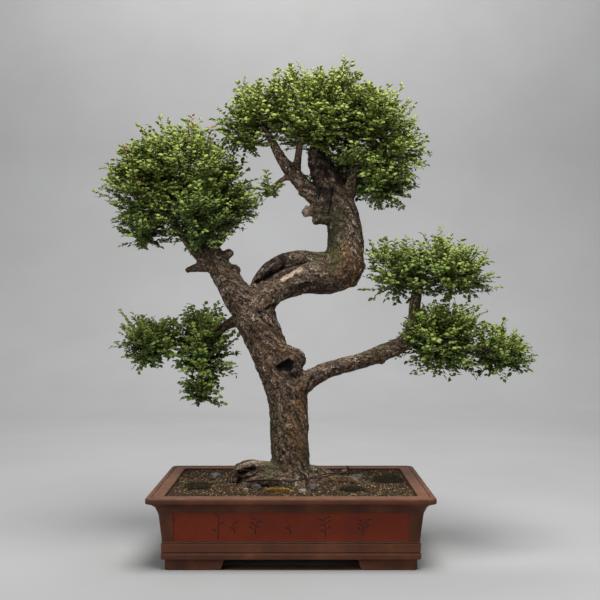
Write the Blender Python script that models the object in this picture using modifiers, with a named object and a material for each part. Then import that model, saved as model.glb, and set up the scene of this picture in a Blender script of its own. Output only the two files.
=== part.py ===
"""Bonsai tree in a pot.

A small-leaved elm grown as a bonsai stands in a shallow rectangular pot of unglazed
brown stoneware.  The tree is one piece of wood with its leaves gathered in pads, its
roots sit in soil that fills the pot, a wire ties the roots down through the drain
holes, and moss, stones and pebbles lie on the soil.

Everything is in metres with +Z up.  The parts are modelled about the middle of the
pot's base, and one empty moves them all so that the origin is under the middle of the
whole object.
"""

import math

import bmesh
import bpy
from mathutils import Matrix, Vector, noise

# ------------------------------------------------------------------ driving dimensions

GAP = 0.0004                 # clearance between any two made pieces that touch
ROOM = 0.0015                # clearance round anything grown or uneven

POT_LENGTH = 0.600           # over the rim, left to right
POT_DEPTH = 0.420            # over the rim, front to back
POT_HEIGHT = 0.155
RIM_WIDTH = 0.036            # flat top of the rim, from its outer edge to the opening
RIM_DROP = 0.013             # height of the rim's outer edge
RIM_CORNER = 0.014
COVE_HEIGHT = 0.029          # hollow moulding under the rim
WALL_INSET_TOP = 0.0255      # outer wall, in from the rim's edge
WALL_INSET_LOW = 0.032
INNER_TAPER = 0.004          # how much the inner wall leans in towards the floor
BAND_HEIGHT = 0.021          # upper of the two mouldings round the base
SKIRT_HEIGHT = 0.012         # lower moulding, just over the feet
BAND_INSET = 0.0295
FLOOR_THICKNESS = 0.012
FOOT_HEIGHT = 0.023
FOOT_LENGTH = 0.122          # along the long side
FOOT_RETURN = 0.090          # along the short side
FOOT_WIDTH = 0.038
FOOT_SETBACK = 0.007         # feet stand in from the moulding above them
FOOT_CURVE = 0.010
UNDERSIDE_RECESS = 0.002
PANEL_MARGIN = 0.025         # corner post left beside each sunk panel
PANEL_LIP = 0.004            # wall left below a panel
PANEL_INTO_COVE = 0.010      # a panel's top, above the foot of the hollow moulding
PANEL_SINK = 0.0025

DRAIN_DIAMETER = 0.028
DRAIN_SPACING = 0.280
SCREEN_SIZE = 0.052
SCREEN_CELLS = 4
SCREEN_THICKNESS = 0.0016
CLIP_WIRE = 0.0016
TIE_WIRE = 0.0020

SOIL_BELOW_RIM = 0.006
SOIL_MOUND = 0.003

TREE_HEIGHT = 0.940          # from the soil to the top of the leaves
TRUNK_DIAMETER = 0.092

# ------------------------------------------------------------------ what follows from them

HALF_X = POT_LENGTH / 2
HALF_Y = POT_DEPTH / 2
FOOT_INSET = BAND_INSET + FOOT_SETBACK
UNDERSIDE = FOOT_HEIGHT + UNDERSIDE_RECESS
POT_FLOOR = UNDERSIDE + FLOOR_THICKNESS
SKIRT_TOP = FOOT_HEIGHT + SKIRT_HEIGHT
BAND_TOP = SKIRT_TOP + BAND_HEIGHT
COVE_BASE = POT_HEIGHT - RIM_DROP - COVE_HEIGHT
SOIL_EDGE = POT_HEIGHT - SOIL_BELOW_RIM
SOIL_TOP = SOIL_EDGE + SOIL_MOUND
SCREEN_CELL = SCREEN_SIZE / SCREEN_CELLS

# The limbs are drawn for a tree of 940 units from soil to tip with a trunk 92 thick.
DRAWN_HEIGHT = 940
DRAWN_TRUNK = 92
UNIT = TREE_HEIGHT / DRAWN_HEIGHT
GIRTH = TRUNK_DIAMETER / DRAWN_TRUNK

# UNIT turns drawn places into metres, and GIRTH drawn thickness.

# Stations along each limb: right, back, up from the soil, and half thickness.
LIMBS = {
    "trunk": [(-2, 0, -70, 40), (-1, 0, -14, 50), (-4, 0, 40, 45), (-6, 0, 130, 44), (-10, 2, 189, 46),
              (-21, 4, 227, 46), (-54, 6, 305, 45), (-85, 0, 376, 48)],
    "left": [(-86, 0, 376, 46), (-111, -4, 406, 37), (-149, -12, 464, 30), (-179, -14, 512, 25),
             (-190, -8, 556, 19), (-204, 2, 610, 14), (-222, 12, 668, 10), (-240, 16, 720, 7)],
    "left_tip": [(-176, -14, 498, 18), (-206, -25, 510, 13), (-236, -44, 545, 10), (-275, -64, 600, 7)],
    "left_inner": [(-184, -10, 530, 16), (-160, 16, 562, 12), (-138, 42, 612, 9), (-126, 62, 664, 7)],
    "left_stub": [(-172, -14, 494, 22), (-202, -18, 488, 14), (-234, -22, 480, 6)],
    "sweep": [(-81, -4, 385, 41), (-58, -10, 415, 31), (-29, -14, 435, 26), (3, -16, 448, 28), (37, -16, 460, 36),
              (73, -14, 466, 42), (105, -12, 478, 45), (120, -10, 503, 44), (120, -6, 565, 41), (110, 0, 632, 35)],
    "arch": [(-84, 2, 415, 20), (-73, 6, 456, 18), (-48, 10, 486, 18), (-14, 10, 504, 18), (22, 6, 508, 20),
             (60, 0, 500, 23), (95, -6, 498, 27)],
    "arch_web": [(-66, 8, 430, 20), (-34, 8, 464, 19), (8, 4, 480, 19), (56, -2, 482, 20)],
    "chopped": [(110, 0, 626, 36), (92, 0, 656, 34), (76, 2, 692, 31), (64, 6, 726, 28), (58, 10, 748, 22)],
    "crown_left": [(90, 0, 624, 22), (57, -6, 642, 20), (30, -14, 668, 19), (1, -22, 699, 17), (-22, -27, 728, 13),
                   (-44, -28, 769, 9), (-70, -20, 812, 7)],
    "crown_left_up": [(10, -20, 694, 11), (14, -24, 730, 9), (20, -30, 775, 8), (28, -30, 820, 7)],
    "crown_knob": [(66, -6, 650, 18), (44, -12, 656, 17), (28, -15, 660, 13)],
    "crown_stub": [(92, -4, 622, 20), (62, -8, 618, 15), (34, -14, 612, 11)],
    "sweep_stub": [(108, -6, 600, 20), (80, -10, 596, 14), (56, -12, 593, 10)],
    "left_knob": [(-168, -14, 500, 18), (-154, -18, 509, 14), (-142, -22, 517, 10)],
    "sprig_twig": [(6, -20, 694, 9), (-20, -24, 684, 6), (-46, -26, 664, 5)],
    "crown_right": [(120, -4, 630, 20), (131, -8, 655, 15), (138, -12, 684, 13), (156, -17, 716, 11),
                    (190, -20, 752, 9), (232, -14, 788, 7)],
    "crown_back": [(101, 8, 646, 20), (118, 32, 688, 15), (133, 57, 734, 12), (142, 78, 800, 8)],
    "crown_top": [(72, 12, 714, 15), (69, 20, 757, 11), (60, 18, 810, 9), (53, 14, 860, 7)],
    "right": [(0, 0, 217, 32), (35, -8, 230, 24), (86, -20, 257, 19), (153, -32, 275, 18), (209, -42, 297, 20),
              (248, -47, 316, 18), (270, -48, 356, 15), (277, -40, 412, 13), (290, -30, 460, 10), (314, -22, 500, 7)],
    "right_low": [(238, -46, 308, 14), (285, -55, 318, 11), (345, -58, 319, 9), (405, -54, 308, 8), (462, -48, 292, 7)],
    "low_left": [(-95, 6, 378, 22), (-140, 24, 360, 13), (-178, 36, 338, 10), (-235, 50, 320, 8), (-300, 54, 318, 7),
                 (-352, 54, 306, 6.5)],
    "low_left_drop": [(-182, 38, 334, 10), (-199, 36, 297, 8), (-206, 30, 255, 7)],
    "root_left": [(-15, -8, 4, 34), (-62, -18, 26, 24), (-102, -14, 34, 19), (-126, -10, 12, 14), (-140, -8, -35, 8)],
    "root_front_left": [(-16, -24, 6, 28), (-58, -48, 12, 16), (-100, -58, 2, 12), (-124, -66, -32, 8)],
    "root_front": [(6, -26, -4, 26), (20, -60, -8, 16), (30, -82, -34, 9)],
    "root_right": [(22, 10, 10, 32), (50, 16, 17, 19), (86, 28, 10, 12), (120, 40, -6, 9), (142, 48, -32, 7)],
    "root_right_front": [(40, -6, -6, 24), (100, 2, 3, 11), (150, -22, 3, 10), (188, -50, -26, 8)],
    "root_back_left": [(-10, 26, 2, 28), (-42, 78, 0, 16), (-72, 116, -32, 8)],
    "root_back_right": [(14, 26, 2, 26), (46, 84, -4, 14), (66, 116, -34, 8)],
}

# Swellings on the wood: right, back, up, and the three half widths.
BURLS = {
    "hollow_burl": (-4, -10, 270, 34, 32, 40),
    "left_burl": (-133, -8, 478, 18, 18, 17),
    "elbow": (122, -12, 486, 42, 40, 44),
    "right_joint": (20, -6, 224, 34, 30, 28),
    "right_knob": (196, -42, 282, 16, 15, 14),
    "root_block": (-100, -14, 30, 30, 24, 22),
}
HOLLOW = (-10, -46, 268, 13, 26, 17)

# Lobes of each leaf pad: right, back, up, and the three half widths.
PADS = {
    "leaves_crown_top": [(14, 0, 860, 106, 98, 84), (98, 10, 864, 98, 100, 80), (60, -60, 806, 86, 64, 50),
                         (70, 84, 800, 96, 78, 64), (36, -34, 784, 84, 66, 46)],
    "leaves_crown_left": [(-114, -6, 814, 60, 76, 52), (-70, 0, 852, 70, 92, 64), (-98, -12, 774, 60, 72, 38)],
    "leaves_crown_right": [(206, -10, 802, 80, 94, 88), (246, 0, 746, 70, 86, 84), (176, -4, 838, 74, 90, 60)],
    "leaves_crown_low_right": [(192, -14, 684, 66, 76, 62), (226, -6, 666, 56, 64, 50), (150, -44, 728, 60, 48, 42)],
    "leaves_crown_back": [(96, 150, 726, 98, 68, 60), (176, 122, 716, 64, 60, 58)],
    "leaves_left_top": [(-254, 0, 722, 138, 124, 96), (-178, 28, 668, 88, 100, 70), (-322, -4, 718, 90, 92, 72),
                        (-140, 0, 664, 66, 80, 70)],
    "leaves_left_outer": [(-334, -10, 654, 104, 106, 90)],
    "leaves_left_hanging": [(-332, -24, 572, 72, 74, 50)],
    "leaves_left_low": [(-232, -64, 608, 98, 74, 66), (-146, -40, 624, 82, 68, 60), (-204, -66, 558, 72, 52, 44)],
    "leaves_left_back": [(-196, 108, 620, 92, 64, 60)],
    "leaves_low_left_tip": [(-352, 50, 316, 66, 74, 62), (-296, 50, 320, 68, 86, 60)],
    "leaves_low_left": [(-212, 40, 340, 80, 94, 66), (-200, 36, 280, 74, 84, 66)],
    "leaves_low_left_drop": [(-208, 28, 212, 56, 58, 50)],
    "leaves_right_inner": [(236, -30, 478, 76, 90, 76)],
    "leaves_right_outer": [(330, -26, 484, 92, 98, 76), (404, -30, 470, 58, 70, 60)],
    "leaves_right_low": [(296, -50, 318, 62, 82, 68), (366, -50, 312, 76, 90, 74), (342, -52, 376, 82, 70, 34),
                         (284, -76, 340, 46, 40, 50)],
    "leaves_right_tip": [(450, -48, 300, 64, 70, 60), (496, -46, 284, 46, 50, 44)],
    "leaves_sprig": [(-48, -26, 664, 38, 32, 34)],
}

# Stones by the roots: right and back in drawn units, and the three half widths.
STONES_BY_ROOTS = {
    "stone_grey": (47, -95, 13, 11, 10),
    "stone_dark": (-76, -84, 10, 9, 9),
    "stone_pale": (25, -117, 9, 7, 6),
    "pebble_white": (-98, -102, 6, 5, 5),
}

# Stones by the walls: right and back as shares of the way to the wall, and the three half widths.
STONES_BY_WALL = {
    "stone_right": (0.575, 0.23, 14, 12, 9),
    "stone_left": (-0.675, 0.30, 13, 15, 10),
    "pebble_back": (0.48, 0.70, 9, 8, 7),
}

# Cushions of moss, placed in the same two ways: the two half widths, then how high they stand.
MOSS_BY_ROOTS = {
    "moss_golden": (-26, -111, 32, 15, 9),
    "moss_front_right": (132, -92, 30, 22, 10),
}
MOSS_BY_WALL = {
    "moss_left": (-0.79, -0.28, 34, 40, 10),
    "moss_right": (0.82, 0.20, 38, 46, 11),
    "moss_back": (-0.05, 0.80, 52, 22, 10),
}

WOOD_GRAIN = 5.0             # drawn thickness, the finest shape kept where limbs grow together
WOOD_KEPT = 0.062            # share of the wood's faces left after thinning
LEAF_GRAIN = 40.0            # drawn units, the finest shape kept in a large pad

# Colours are red, green and blue in linear light.
CLAY = (0.110, 0.052, 0.034)
SOIL_BROWN = (0.045, 0.028, 0.016)
BARK = (0.072, 0.048, 0.030)
LEAF_DARK = (0.060, 0.080, 0.026)
LEAF_LIGHT = (0.118, 0.140, 0.040)


# ------------------------------------------------------------------ small helpers

def clear_scene():
    for item in list(bpy.data.objects):
        bpy.data.objects.remove(item, do_unlink=True)


def new_collection(name):
    group = bpy.data.collections.new(name)
    bpy.context.scene.collection.children.link(group)
    return group


def material(name, colour, roughness, metallic=0.0):
    surface = bpy.data.materials.new(name)
    surface.use_nodes = True
    shader = surface.node_tree.nodes["Principled BSDF"]
    shader.inputs["Base Color"].default_value = (*colour, 1.0)
    shader.inputs["Roughness"].default_value = roughness
    shader.inputs["Metallic"].default_value = metallic
    return surface


def add_object(name, mesh, group):
    item = bpy.data.objects.new(name, mesh)
    group.objects.link(item)
    item.parent = origin
    return item


def add_part(name, mesh, surface):
    mesh.materials.clear()
    mesh.materials.append(surface)
    return add_object(name, mesh, parts)


def add_cutter(name, mesh):
    item = add_object(name, mesh, cutters)
    item.display_type = "WIRE"
    item.hide_render = True
    return item


def mesh_from(name, shape):
    """Close a bmesh's work and return it as a mesh of flat faces that face out."""
    bmesh.ops.recalc_face_normals(shape, faces=shape.faces)
    bmesh.ops.triangulate(shape, faces=shape.faces)
    mesh = bpy.data.meshes.new(name)
    shape.to_mesh(mesh)
    shape.free()
    return mesh


def evaluated_mesh(item):
    """The mesh of an object or curve with its modifiers, its caps welded."""
    bpy.context.view_layer.update()
    graph = bpy.context.evaluated_depsgraph_get()
    mesh = bpy.data.meshes.new_from_object(item.evaluated_get(graph))
    shape = bmesh.new()
    shape.from_mesh(mesh)
    bmesh.ops.remove_doubles(shape, verts=shape.verts, dist=0.00001)
    bpy.data.meshes.remove(mesh)
    return mesh_from(item.name + "_mesh", shape)


def grown(mesh, amount):
    """A copy of a closed mesh moved out by amount, to cut room for a piece."""
    shape = bmesh.new()
    shape.from_mesh(mesh)
    shape.normal_update()
    moves = [vert.normal * amount * min(vert.calc_shell_factor(), 2.0) for vert in shape.verts]
    for vert, move in zip(shape.verts, moves):
        vert.co += move
    return mesh_from(mesh.name + "_grown", shape)


def cut(item, cutter):
    step = item.modifiers.new("cut_" + cutter.name, "BOOLEAN")
    step.operation = "DIFFERENCE"
    step.solver = "EXACT"
    step.object = cutter


def ellipsoid(shape, centre, half_widths, detail, roughness=0.0):
    """Add a ball to a bmesh, stretched to its half widths and made uneven."""
    ball = bmesh.ops.create_icosphere(shape, subdivisions=detail, radius=1.0)
    for vert in ball["verts"]:
        bump = 1.0 + roughness * noise.noise(vert.co * 1.7 + Vector(centre) * 9.0)
        vert.co = Vector(centre) + Vector([vert.co[axis] * half_widths[axis] * bump for axis in range(3)])


def box_mesh(name, low, high):
    shape = bmesh.new()
    middle = [(a + b) / 2 for a, b in zip(low, high)]
    size = [b - a for a, b in zip(low, high)]
    frame = Matrix.Translation(middle) @ Matrix.Diagonal((*size, 1.0))
    bmesh.ops.create_cube(shape, size=1.0, matrix=frame)
    return mesh_from(name, shape)


def smooth_route(points, steps):
    """Points along a smooth line through the given ones, steps to each stretch."""
    rows = [Vector(point) for point in points]
    rows = [rows[0] * 2 - rows[1]] + rows + [rows[-1] * 2 - rows[-2]]
    route = []
    for index in range(1, len(rows) - 2):
        a, b, c, d = rows[index - 1:index + 3]
        for step in range(steps):
            t = step / steps
            route.append(0.5 * (2 * b + (c - a) * t + (2 * a - 5 * b + 4 * c - d) * t * t
                                + (3 * b - a - 3 * c + d) * t * t * t))
    route.append(rows[-2])
    return route


def tube_mesh(name, route, radii, sides):
    """A closed tube along a route, from a curve with a round bevel."""
    curve = bpy.data.curves.new(name, "CURVE")
    curve.dimensions = "3D"
    curve.bevel_depth = 1.0
    curve.bevel_resolution = sides // 2 - 2
    curve.use_fill_caps = True
    spline = curve.splines.new("POLY")
    spline.points.add(len(route) - 1)
    for point, place, radius in zip(spline.points, route, radii):
        point.co = (*place, 1.0)
        point.radius = radius
    item = bpy.data.objects.new(name, curve)
    bpy.context.scene.collection.objects.link(item)
    mesh = evaluated_mesh(item)
    bpy.data.objects.remove(item)
    return mesh


def rounded_rectangle(half_x, half_y, radius, z, corner_steps, side_steps):
    """Points round a rectangle with round corners, the same count for any size."""
    ring = []
    centres = [(half_x - radius, half_y - radius), (radius - half_x, half_y - radius),
               (radius - half_x, radius - half_y), (half_x - radius, radius - half_y)]
    for quarter, (x, y) in enumerate(centres):
        for step in range(corner_steps + 1):
            angle = math.pi / 2 * (quarter + step / corner_steps)
            ring.append(Vector((x + radius * math.cos(angle), y + radius * math.sin(angle), z)))
        here = ring[-1]
        next_x, next_y = centres[(quarter + 1) % 4]
        angle = math.pi / 2 * (quarter + 1)
        there = Vector((next_x + radius * math.cos(angle), next_y + radius * math.sin(angle), z))
        for step in range(1, side_steps):
            ring.append(here.lerp(there, step / side_steps))
    return ring


def loft(name, rings):
    """A closed solid through rings of equally many points, capped at both ends."""
    shape = bmesh.new()
    rows = [[shape.verts.new(point) for point in ring] for ring in rings]
    for row, following in zip(rows, rows[1:]):
        for index, vert in enumerate(row):
            after = (index + 1) % len(row)
            shape.faces.new((vert, row[after], following[after], following[index]))
    shape.faces.new(rows[0])
    shape.faces.new(rows[-1])
    return mesh_from(name, shape)


# ------------------------------------------------------------------ pot

def wall_inset(z):
    """How far the outer wall stands in from the rim's edge at a height."""
    share = (COVE_BASE - z) / (COVE_BASE - BAND_TOP)
    return WALL_INSET_TOP + (WALL_INSET_LOW - WALL_INSET_TOP) * share


def inner_inset(z):
    """How far the inner wall stands in from the rim's edge at a height."""
    return RIM_WIDTH + INNER_TAPER * (POT_HEIGHT - z) / (POT_HEIGHT - POT_FLOOR)


def pot_profile():
    """In from the rim's edge, height and corner radius: floor, inner wall, rim, outside, foot."""
    top = POT_HEIGHT
    edge = POT_HEIGHT - RIM_DROP
    wall_corner = RIM_CORNER * 0.6
    return [
        (inner_inset(POT_FLOOR), POT_FLOOR, RIM_CORNER),
        (inner_inset(top - 0.004), top - 0.004, RIM_CORNER),
        (RIM_WIDTH - 0.002, top - 0.001, RIM_CORNER),
        (RIM_WIDTH - 0.004, top - 0.001, RIM_CORNER),
        (0.0135, top - 0.001, RIM_CORNER),
        (0.0120, top - 0.0025, RIM_CORNER),
        (0.0105, top - 0.001, RIM_CORNER),
        (0.0080, top, RIM_CORNER),
        (0.0030, top - 0.001, RIM_CORNER),
        (0.0, top - 0.004, RIM_CORNER),
        (0.0008, edge + 0.001, RIM_CORNER),
        (0.0030, edge, RIM_CORNER),
        (0.0115, edge - COVE_HEIGHT * 0.145, RIM_CORNER),
        (0.0181, edge - COVE_HEIGHT * 0.36, wall_corner),
        (0.0228, edge - COVE_HEIGHT * 0.645, wall_corner),
        (WALL_INSET_TOP, COVE_BASE, wall_corner),
        (WALL_INSET_LOW, BAND_TOP, wall_corner),
        (BAND_INSET + 0.0008, BAND_TOP - 0.001, wall_corner),
        (BAND_INSET, BAND_TOP - 0.003, wall_corner),
        (BAND_INSET, SKIRT_TOP + 0.0025, wall_corner),
        (BAND_INSET + 0.0025, SKIRT_TOP + 0.001, wall_corner),
        (BAND_INSET, SKIRT_TOP - 0.001, wall_corner),
        (BAND_INSET, FOOT_HEIGHT + 0.0015, wall_corner),
        (BAND_INSET + 0.0015, FOOT_HEIGHT, wall_corner),
        (FOOT_INSET, FOOT_HEIGHT, wall_corner),
        (FOOT_INSET + 0.001, 0.0, wall_corner),
        (FOOT_INSET + FOOT_WIDTH, 0.0, wall_corner),
        (FOOT_INSET + FOOT_WIDTH, UNDERSIDE, wall_corner),
    ]


def foot_gap_outline(half_gap):
    """Half of the outline between two feet, from the ground up, with curved foot ends."""
    points = []
    for step in range(6):
        angle = math.pi / 2 * step / 5
        points.append((half_gap + FOOT_CURVE * (1 - math.sin(angle)) - FOOT_CURVE * 0.4,
                       FOOT_HEIGHT - FOOT_CURVE * math.cos(angle)))
    return [(points[0][0], -0.01)] + points


def foot_gap_cutter(name, half_gap, half_run, across):
    """A bar through the pot's base that leaves the feet at the corners."""
    half = foot_gap_outline(half_gap)
    outline = half + [(-x, z) for x, z in reversed(half)]
    turn = Matrix.Rotation(math.pi / 2 if across else 0.0, 3, "Z")
    rings = [[turn @ Vector((x, y, z)) for x, z in outline] for y in (-half_run, half_run)]
    return add_cutter(name, loft(name, rings))


def panel_cutter(name, half_length, wall_half, turn):
    """A slab leaning with the wall, to sink one panel."""
    low = BAND_TOP + PANEL_LIP
    high = COVE_BASE + PANEL_INTO_COVE
    lean = math.atan2(WALL_INSET_LOW - WALL_INSET_TOP, COVE_BASE - BAND_TOP)
    middle = (low + high) / 2
    face = wall_half - wall_inset(middle)
    slab = box_mesh(name, (-half_length, -0.01, -(high - low) / 2), (half_length, PANEL_SINK, (high - low) / 2))
    frame = (Matrix.Rotation(turn, 4, "Z") @ Matrix.Translation((0.0, -face, middle))
             @ Matrix.Rotation(lean, 4, "X"))
    slab.transform(frame)
    return add_cutter(name, slab)


def drain_places():
    return [(-DRAIN_SPACING / 2, 0.0), (DRAIN_SPACING / 2, 0.0)]


def build_pot():
    rings = [rounded_rectangle(HALF_X - inset, HALF_Y - inset, radius, z, 4, 1)
             for inset, z, radius in pot_profile()]
    pot = add_part("pot", loft("pot", rings), material("fired_clay", CLAY, 0.62))
    long_gap = HALF_X - FOOT_INSET - FOOT_LENGTH
    short_gap = HALF_Y - FOOT_INSET - FOOT_RETURN
    cut(pot, foot_gap_cutter("gap_between_front_feet", long_gap, HALF_Y + 0.05, False))
    cut(pot, foot_gap_cutter("gap_between_side_feet", short_gap, HALF_X + 0.05, True))
    long_panel = HALF_X - WALL_INSET_LOW - PANEL_MARGIN
    short_panel = HALF_Y - WALL_INSET_LOW - PANEL_MARGIN
    sides = [("front", long_panel, HALF_Y, 0.0), ("right", short_panel, HALF_X, math.pi / 2),
             ("back", long_panel, HALF_Y, math.pi), ("left", short_panel, HALF_X, -math.pi / 2)]
    for side, half_length, wall_half, turn in sides:
        cut(pot, panel_cutter("panel_" + side, half_length, wall_half, turn))
    for index, (x, y) in enumerate(drain_places()):
        shape = bmesh.new()
        bmesh.ops.create_cone(shape, cap_ends=True, segments=24, radius1=DRAIN_DIAMETER / 2,
                              radius2=DRAIN_DIAMETER / 2, depth=FLOOR_THICKNESS * 3,
                              matrix=Matrix.Translation((x, y, POT_FLOOR - FLOOR_THICKNESS / 2)))
        cut(pot, add_cutter("drain_hole_%d" % (index + 1), mesh_from("drain_hole", shape)))
    return pot


# ------------------------------------------------------------------ tree

def tree_point(right, back, up):
    return Vector((right * UNIT, back * UNIT, SOIL_TOP + up * UNIT))


def build_wood():
    """Trunk, limbs, burls and surface roots, grown together as one solid."""
    shape = bmesh.new()
    for name, stations in LIMBS.items():
        rows = smooth_route([Vector(station) for station in stations], 3)
        route = [tree_point(*row[:3]) for row in rows]
        tube = tube_mesh(name, route, [row[3] * GIRTH for row in rows], 10)
        shape.from_mesh(tube)
    for right, back, up, *half in BURLS.values():
        ellipsoid(shape, tree_point(right, back, up), [value * GIRTH for value in half], 3, 0.25)
    wood = add_part("tree_wood", mesh_from("tree_wood", shape), material("bark", BARK, 0.85))
    knit = wood.modifiers.new("grow_together", "REMESH")
    knit.mode = "VOXEL"
    knit.voxel_size = WOOD_GRAIN * GIRTH
    ease = wood.modifiers.new("ease", "SMOOTH")
    ease.factor = 0.5
    ease.iterations = 2
    thin = wood.modifiers.new("thin", "DECIMATE")
    thin.ratio = WOOD_KEPT
    wood.modifiers.new("flat_faces", "TRIANGULATE")
    right, back, up, *half = HOLLOW
    hollow = bmesh.new()
    ellipsoid(hollow, tree_point(right, back, up), [value * GIRTH for value in half], 2)
    cut(wood, add_cutter("burl_hollow", mesh_from("burl_hollow", hollow)))
    return wood


def build_leaves(wood, wood_room):
    """Every pad of leaves as one soft solid round the twigs that carry it."""
    before = []
    for index, (name, lobes) in enumerate(PADS.items()):
        shape = bmesh.new()
        for right, back, up, *half in lobes:
            ellipsoid(shape, tree_point(right, back, up), [value * UNIT for value in half], 3, 0.22)
        rough = bpy.data.objects.new(name + "_rough", mesh_from(name, shape))
        bpy.context.scene.collection.objects.link(rough)
        knit = rough.modifiers.new("grow_together", "REMESH")
        knit.mode = "VOXEL"
        knit.voxel_size = min(LEAF_GRAIN, 0.7 * min(min(lobe[3:]) for lobe in lobes)) * UNIT
        mesh = evaluated_mesh(rough)
        bpy.data.objects.remove(rough)
        share = index / (len(PADS) - 1)
        colour = [a + (b - a) * (1 - share) for a, b in zip(LEAF_DARK, LEAF_LIGHT)]
        pad = add_part(name, mesh, material(name, colour, 0.6))
        cut(pad, wood_room)
        cut(pad, wood)
        for other in before:
            if boxes_meet(pad, other):
                cut(pad, other)
        before.append(add_cutter(name + "_room", grown(mesh, ROOM)))


def boxes_meet(one, other):
    for axis in range(3):
        one_span = [vert.co[axis] for vert in one.data.vertices]
        other_span = [vert.co[axis] for vert in other.data.vertices]
        if min(one_span) > max(other_span) or min(other_span) > max(one_span):
            return False
    return True


# ------------------------------------------------------------------ what lies in the pot

def soil_height(x, y):
    """The soil rises from the wall to the trunk, a little unevenly."""
    open_x = HALF_X - RIM_WIDTH
    open_y = HALF_Y - RIM_WIDTH
    rise = (1 - (x / open_x) ** 2) * (1 - (y / open_y) ** 2)
    wave = 0.0025 * rise * noise.noise(Vector((x * 22, y * 22, 0.0)))
    return SOIL_EDGE + SOIL_MOUND * max(rise, 0.0) + wave


def build_soil():
    """Soil from the pot's floor up to a low mound, a clearance in from the walls."""
    rings = []
    for z in (POT_FLOOR + GAP, SOIL_EDGE):
        inset = inner_inset(z) + GAP
        rings.append(rounded_rectangle(HALF_X - inset, HALF_Y - inset, RIM_CORNER, z, 3, 6))
    inset = inner_inset(SOIL_EDGE) + GAP
    for share in (0.94, 0.8, 0.62, 0.44, 0.26, 0.10):
        ring = rounded_rectangle((HALF_X - inset) * share, (HALF_Y - inset) * share, RIM_CORNER * share, 0.0, 3, 6)
        for point in ring:
            point.z = soil_height(point.x, point.y)
        rings.append(ring)
    return add_part("soil", loft("soil", rings), material("soil", SOIL_BROWN, 0.95))


def beds(by_roots, by_wall):
    """Name, place on the soil and half widths of everything that lies on it."""
    for name, (right, back, *half) in by_roots.items():
        yield name, right * UNIT, back * UNIT, [value * UNIT for value in half]
    for name, (right, back, *half) in by_wall.items():
        yield name, right * (HALF_X - RIM_WIDTH), back * (HALF_Y - RIM_WIDTH), [value * UNIT for value in half]


def build_stones(soil):
    for index, (name, x, y, half) in enumerate(beds(STONES_BY_ROOTS, STONES_BY_WALL)):
        shape = bmesh.new()
        ellipsoid(shape, (x, y, soil_height(x, y) + half[2] * 0.35), half, 2, 0.35)
        shade = 0.10 + 0.06 * (index % 4)
        stone = add_part(name, mesh_from(name, shape), material(name, (shade, shade, shade * 0.95), 0.8))
        cut(soil, add_cutter(name + "_bed", grown(stone.data, GAP * 2)))


def build_moss(soil, wood_room):
    for name, x, y, half in beds(MOSS_BY_ROOTS, MOSS_BY_WALL):
        shape = bmesh.new()
        ellipsoid(shape, (x, y, soil_height(x, y) - half[2] * 0.2), half, 2, 0.3)
        colour = (0.20, 0.16, 0.03) if name == "moss_golden" else (0.055, 0.085, 0.022)
        cushion = add_part(name, mesh_from(name, shape), material(name, colour, 0.95))
        cut(cushion, wood_room)
        cut(soil, add_cutter(name + "_bed", grown(cushion.data, GAP * 2)))


# ------------------------------------------------------------------ drains and tie wire

def build_screens(soil):
    """A plastic mesh over each drain hole, held by a bent wire clip."""
    for index, (x, y) in enumerate(drain_places()):
        number = index + 1
        base = POT_FLOOR + GAP
        shape = bmesh.new()
        bmesh.ops.create_grid(shape, x_segments=SCREEN_CELLS, y_segments=SCREEN_CELLS, size=SCREEN_SIZE / 2)
        net = bpy.data.meshes.new("drain_screen")
        shape.to_mesh(net)
        shape.free()
        screen = add_part("drain_screen_%d" % number, net, material("screen_%d" % number, (0.02, 0.02, 0.02), 0.5))
        screen.location = (x, y, base + SCREEN_THICKNESS / 2)
        strands = screen.modifiers.new("strands", "WIREFRAME")
        strands.thickness = SCREEN_THICKNESS
        strands.offset = 0.0
        strands.use_boundary = True
        strands.use_even_offset = False

        over = base + SCREEN_THICKNESS * 1.5 + GAP + CLIP_WIRE / 2
        under = UNDERSIDE - GAP * 2 - CLIP_WIRE / 2
        leg = SCREEN_CELL / 2
        reach = DRAIN_DIAMETER / 2 + 0.006
        back = y + SCREEN_CELL / 2
        route = [(x - reach, back, under), (x - leg - 0.002, back, under), (x - leg, back, under + 0.002),
                 (x - leg, back, over - 0.002), (x - leg + 0.002, back, over), (x + leg - 0.002, back, over),
                 (x + leg, back, over - 0.002), (x + leg, back, under + 0.002), (x + leg + 0.002, back, under),
                 (x + reach, back, under)]
        clip = tube_mesh("clip", route, [CLIP_WIRE / 2] * len(route), 8)
        add_part("screen_clip_%d" % number, clip, material("clip_%d" % number, (0.30, 0.28, 0.26), 0.4, 0.9))

        half = SCREEN_SIZE / 2 + 0.002
        room = box_mesh("screen_room", (x - half, y - half, POT_FLOOR - 0.005), (x + half, y + half, over + 0.002))
        cut(soil, add_cutter("screen_room_%d" % number, room))


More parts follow.
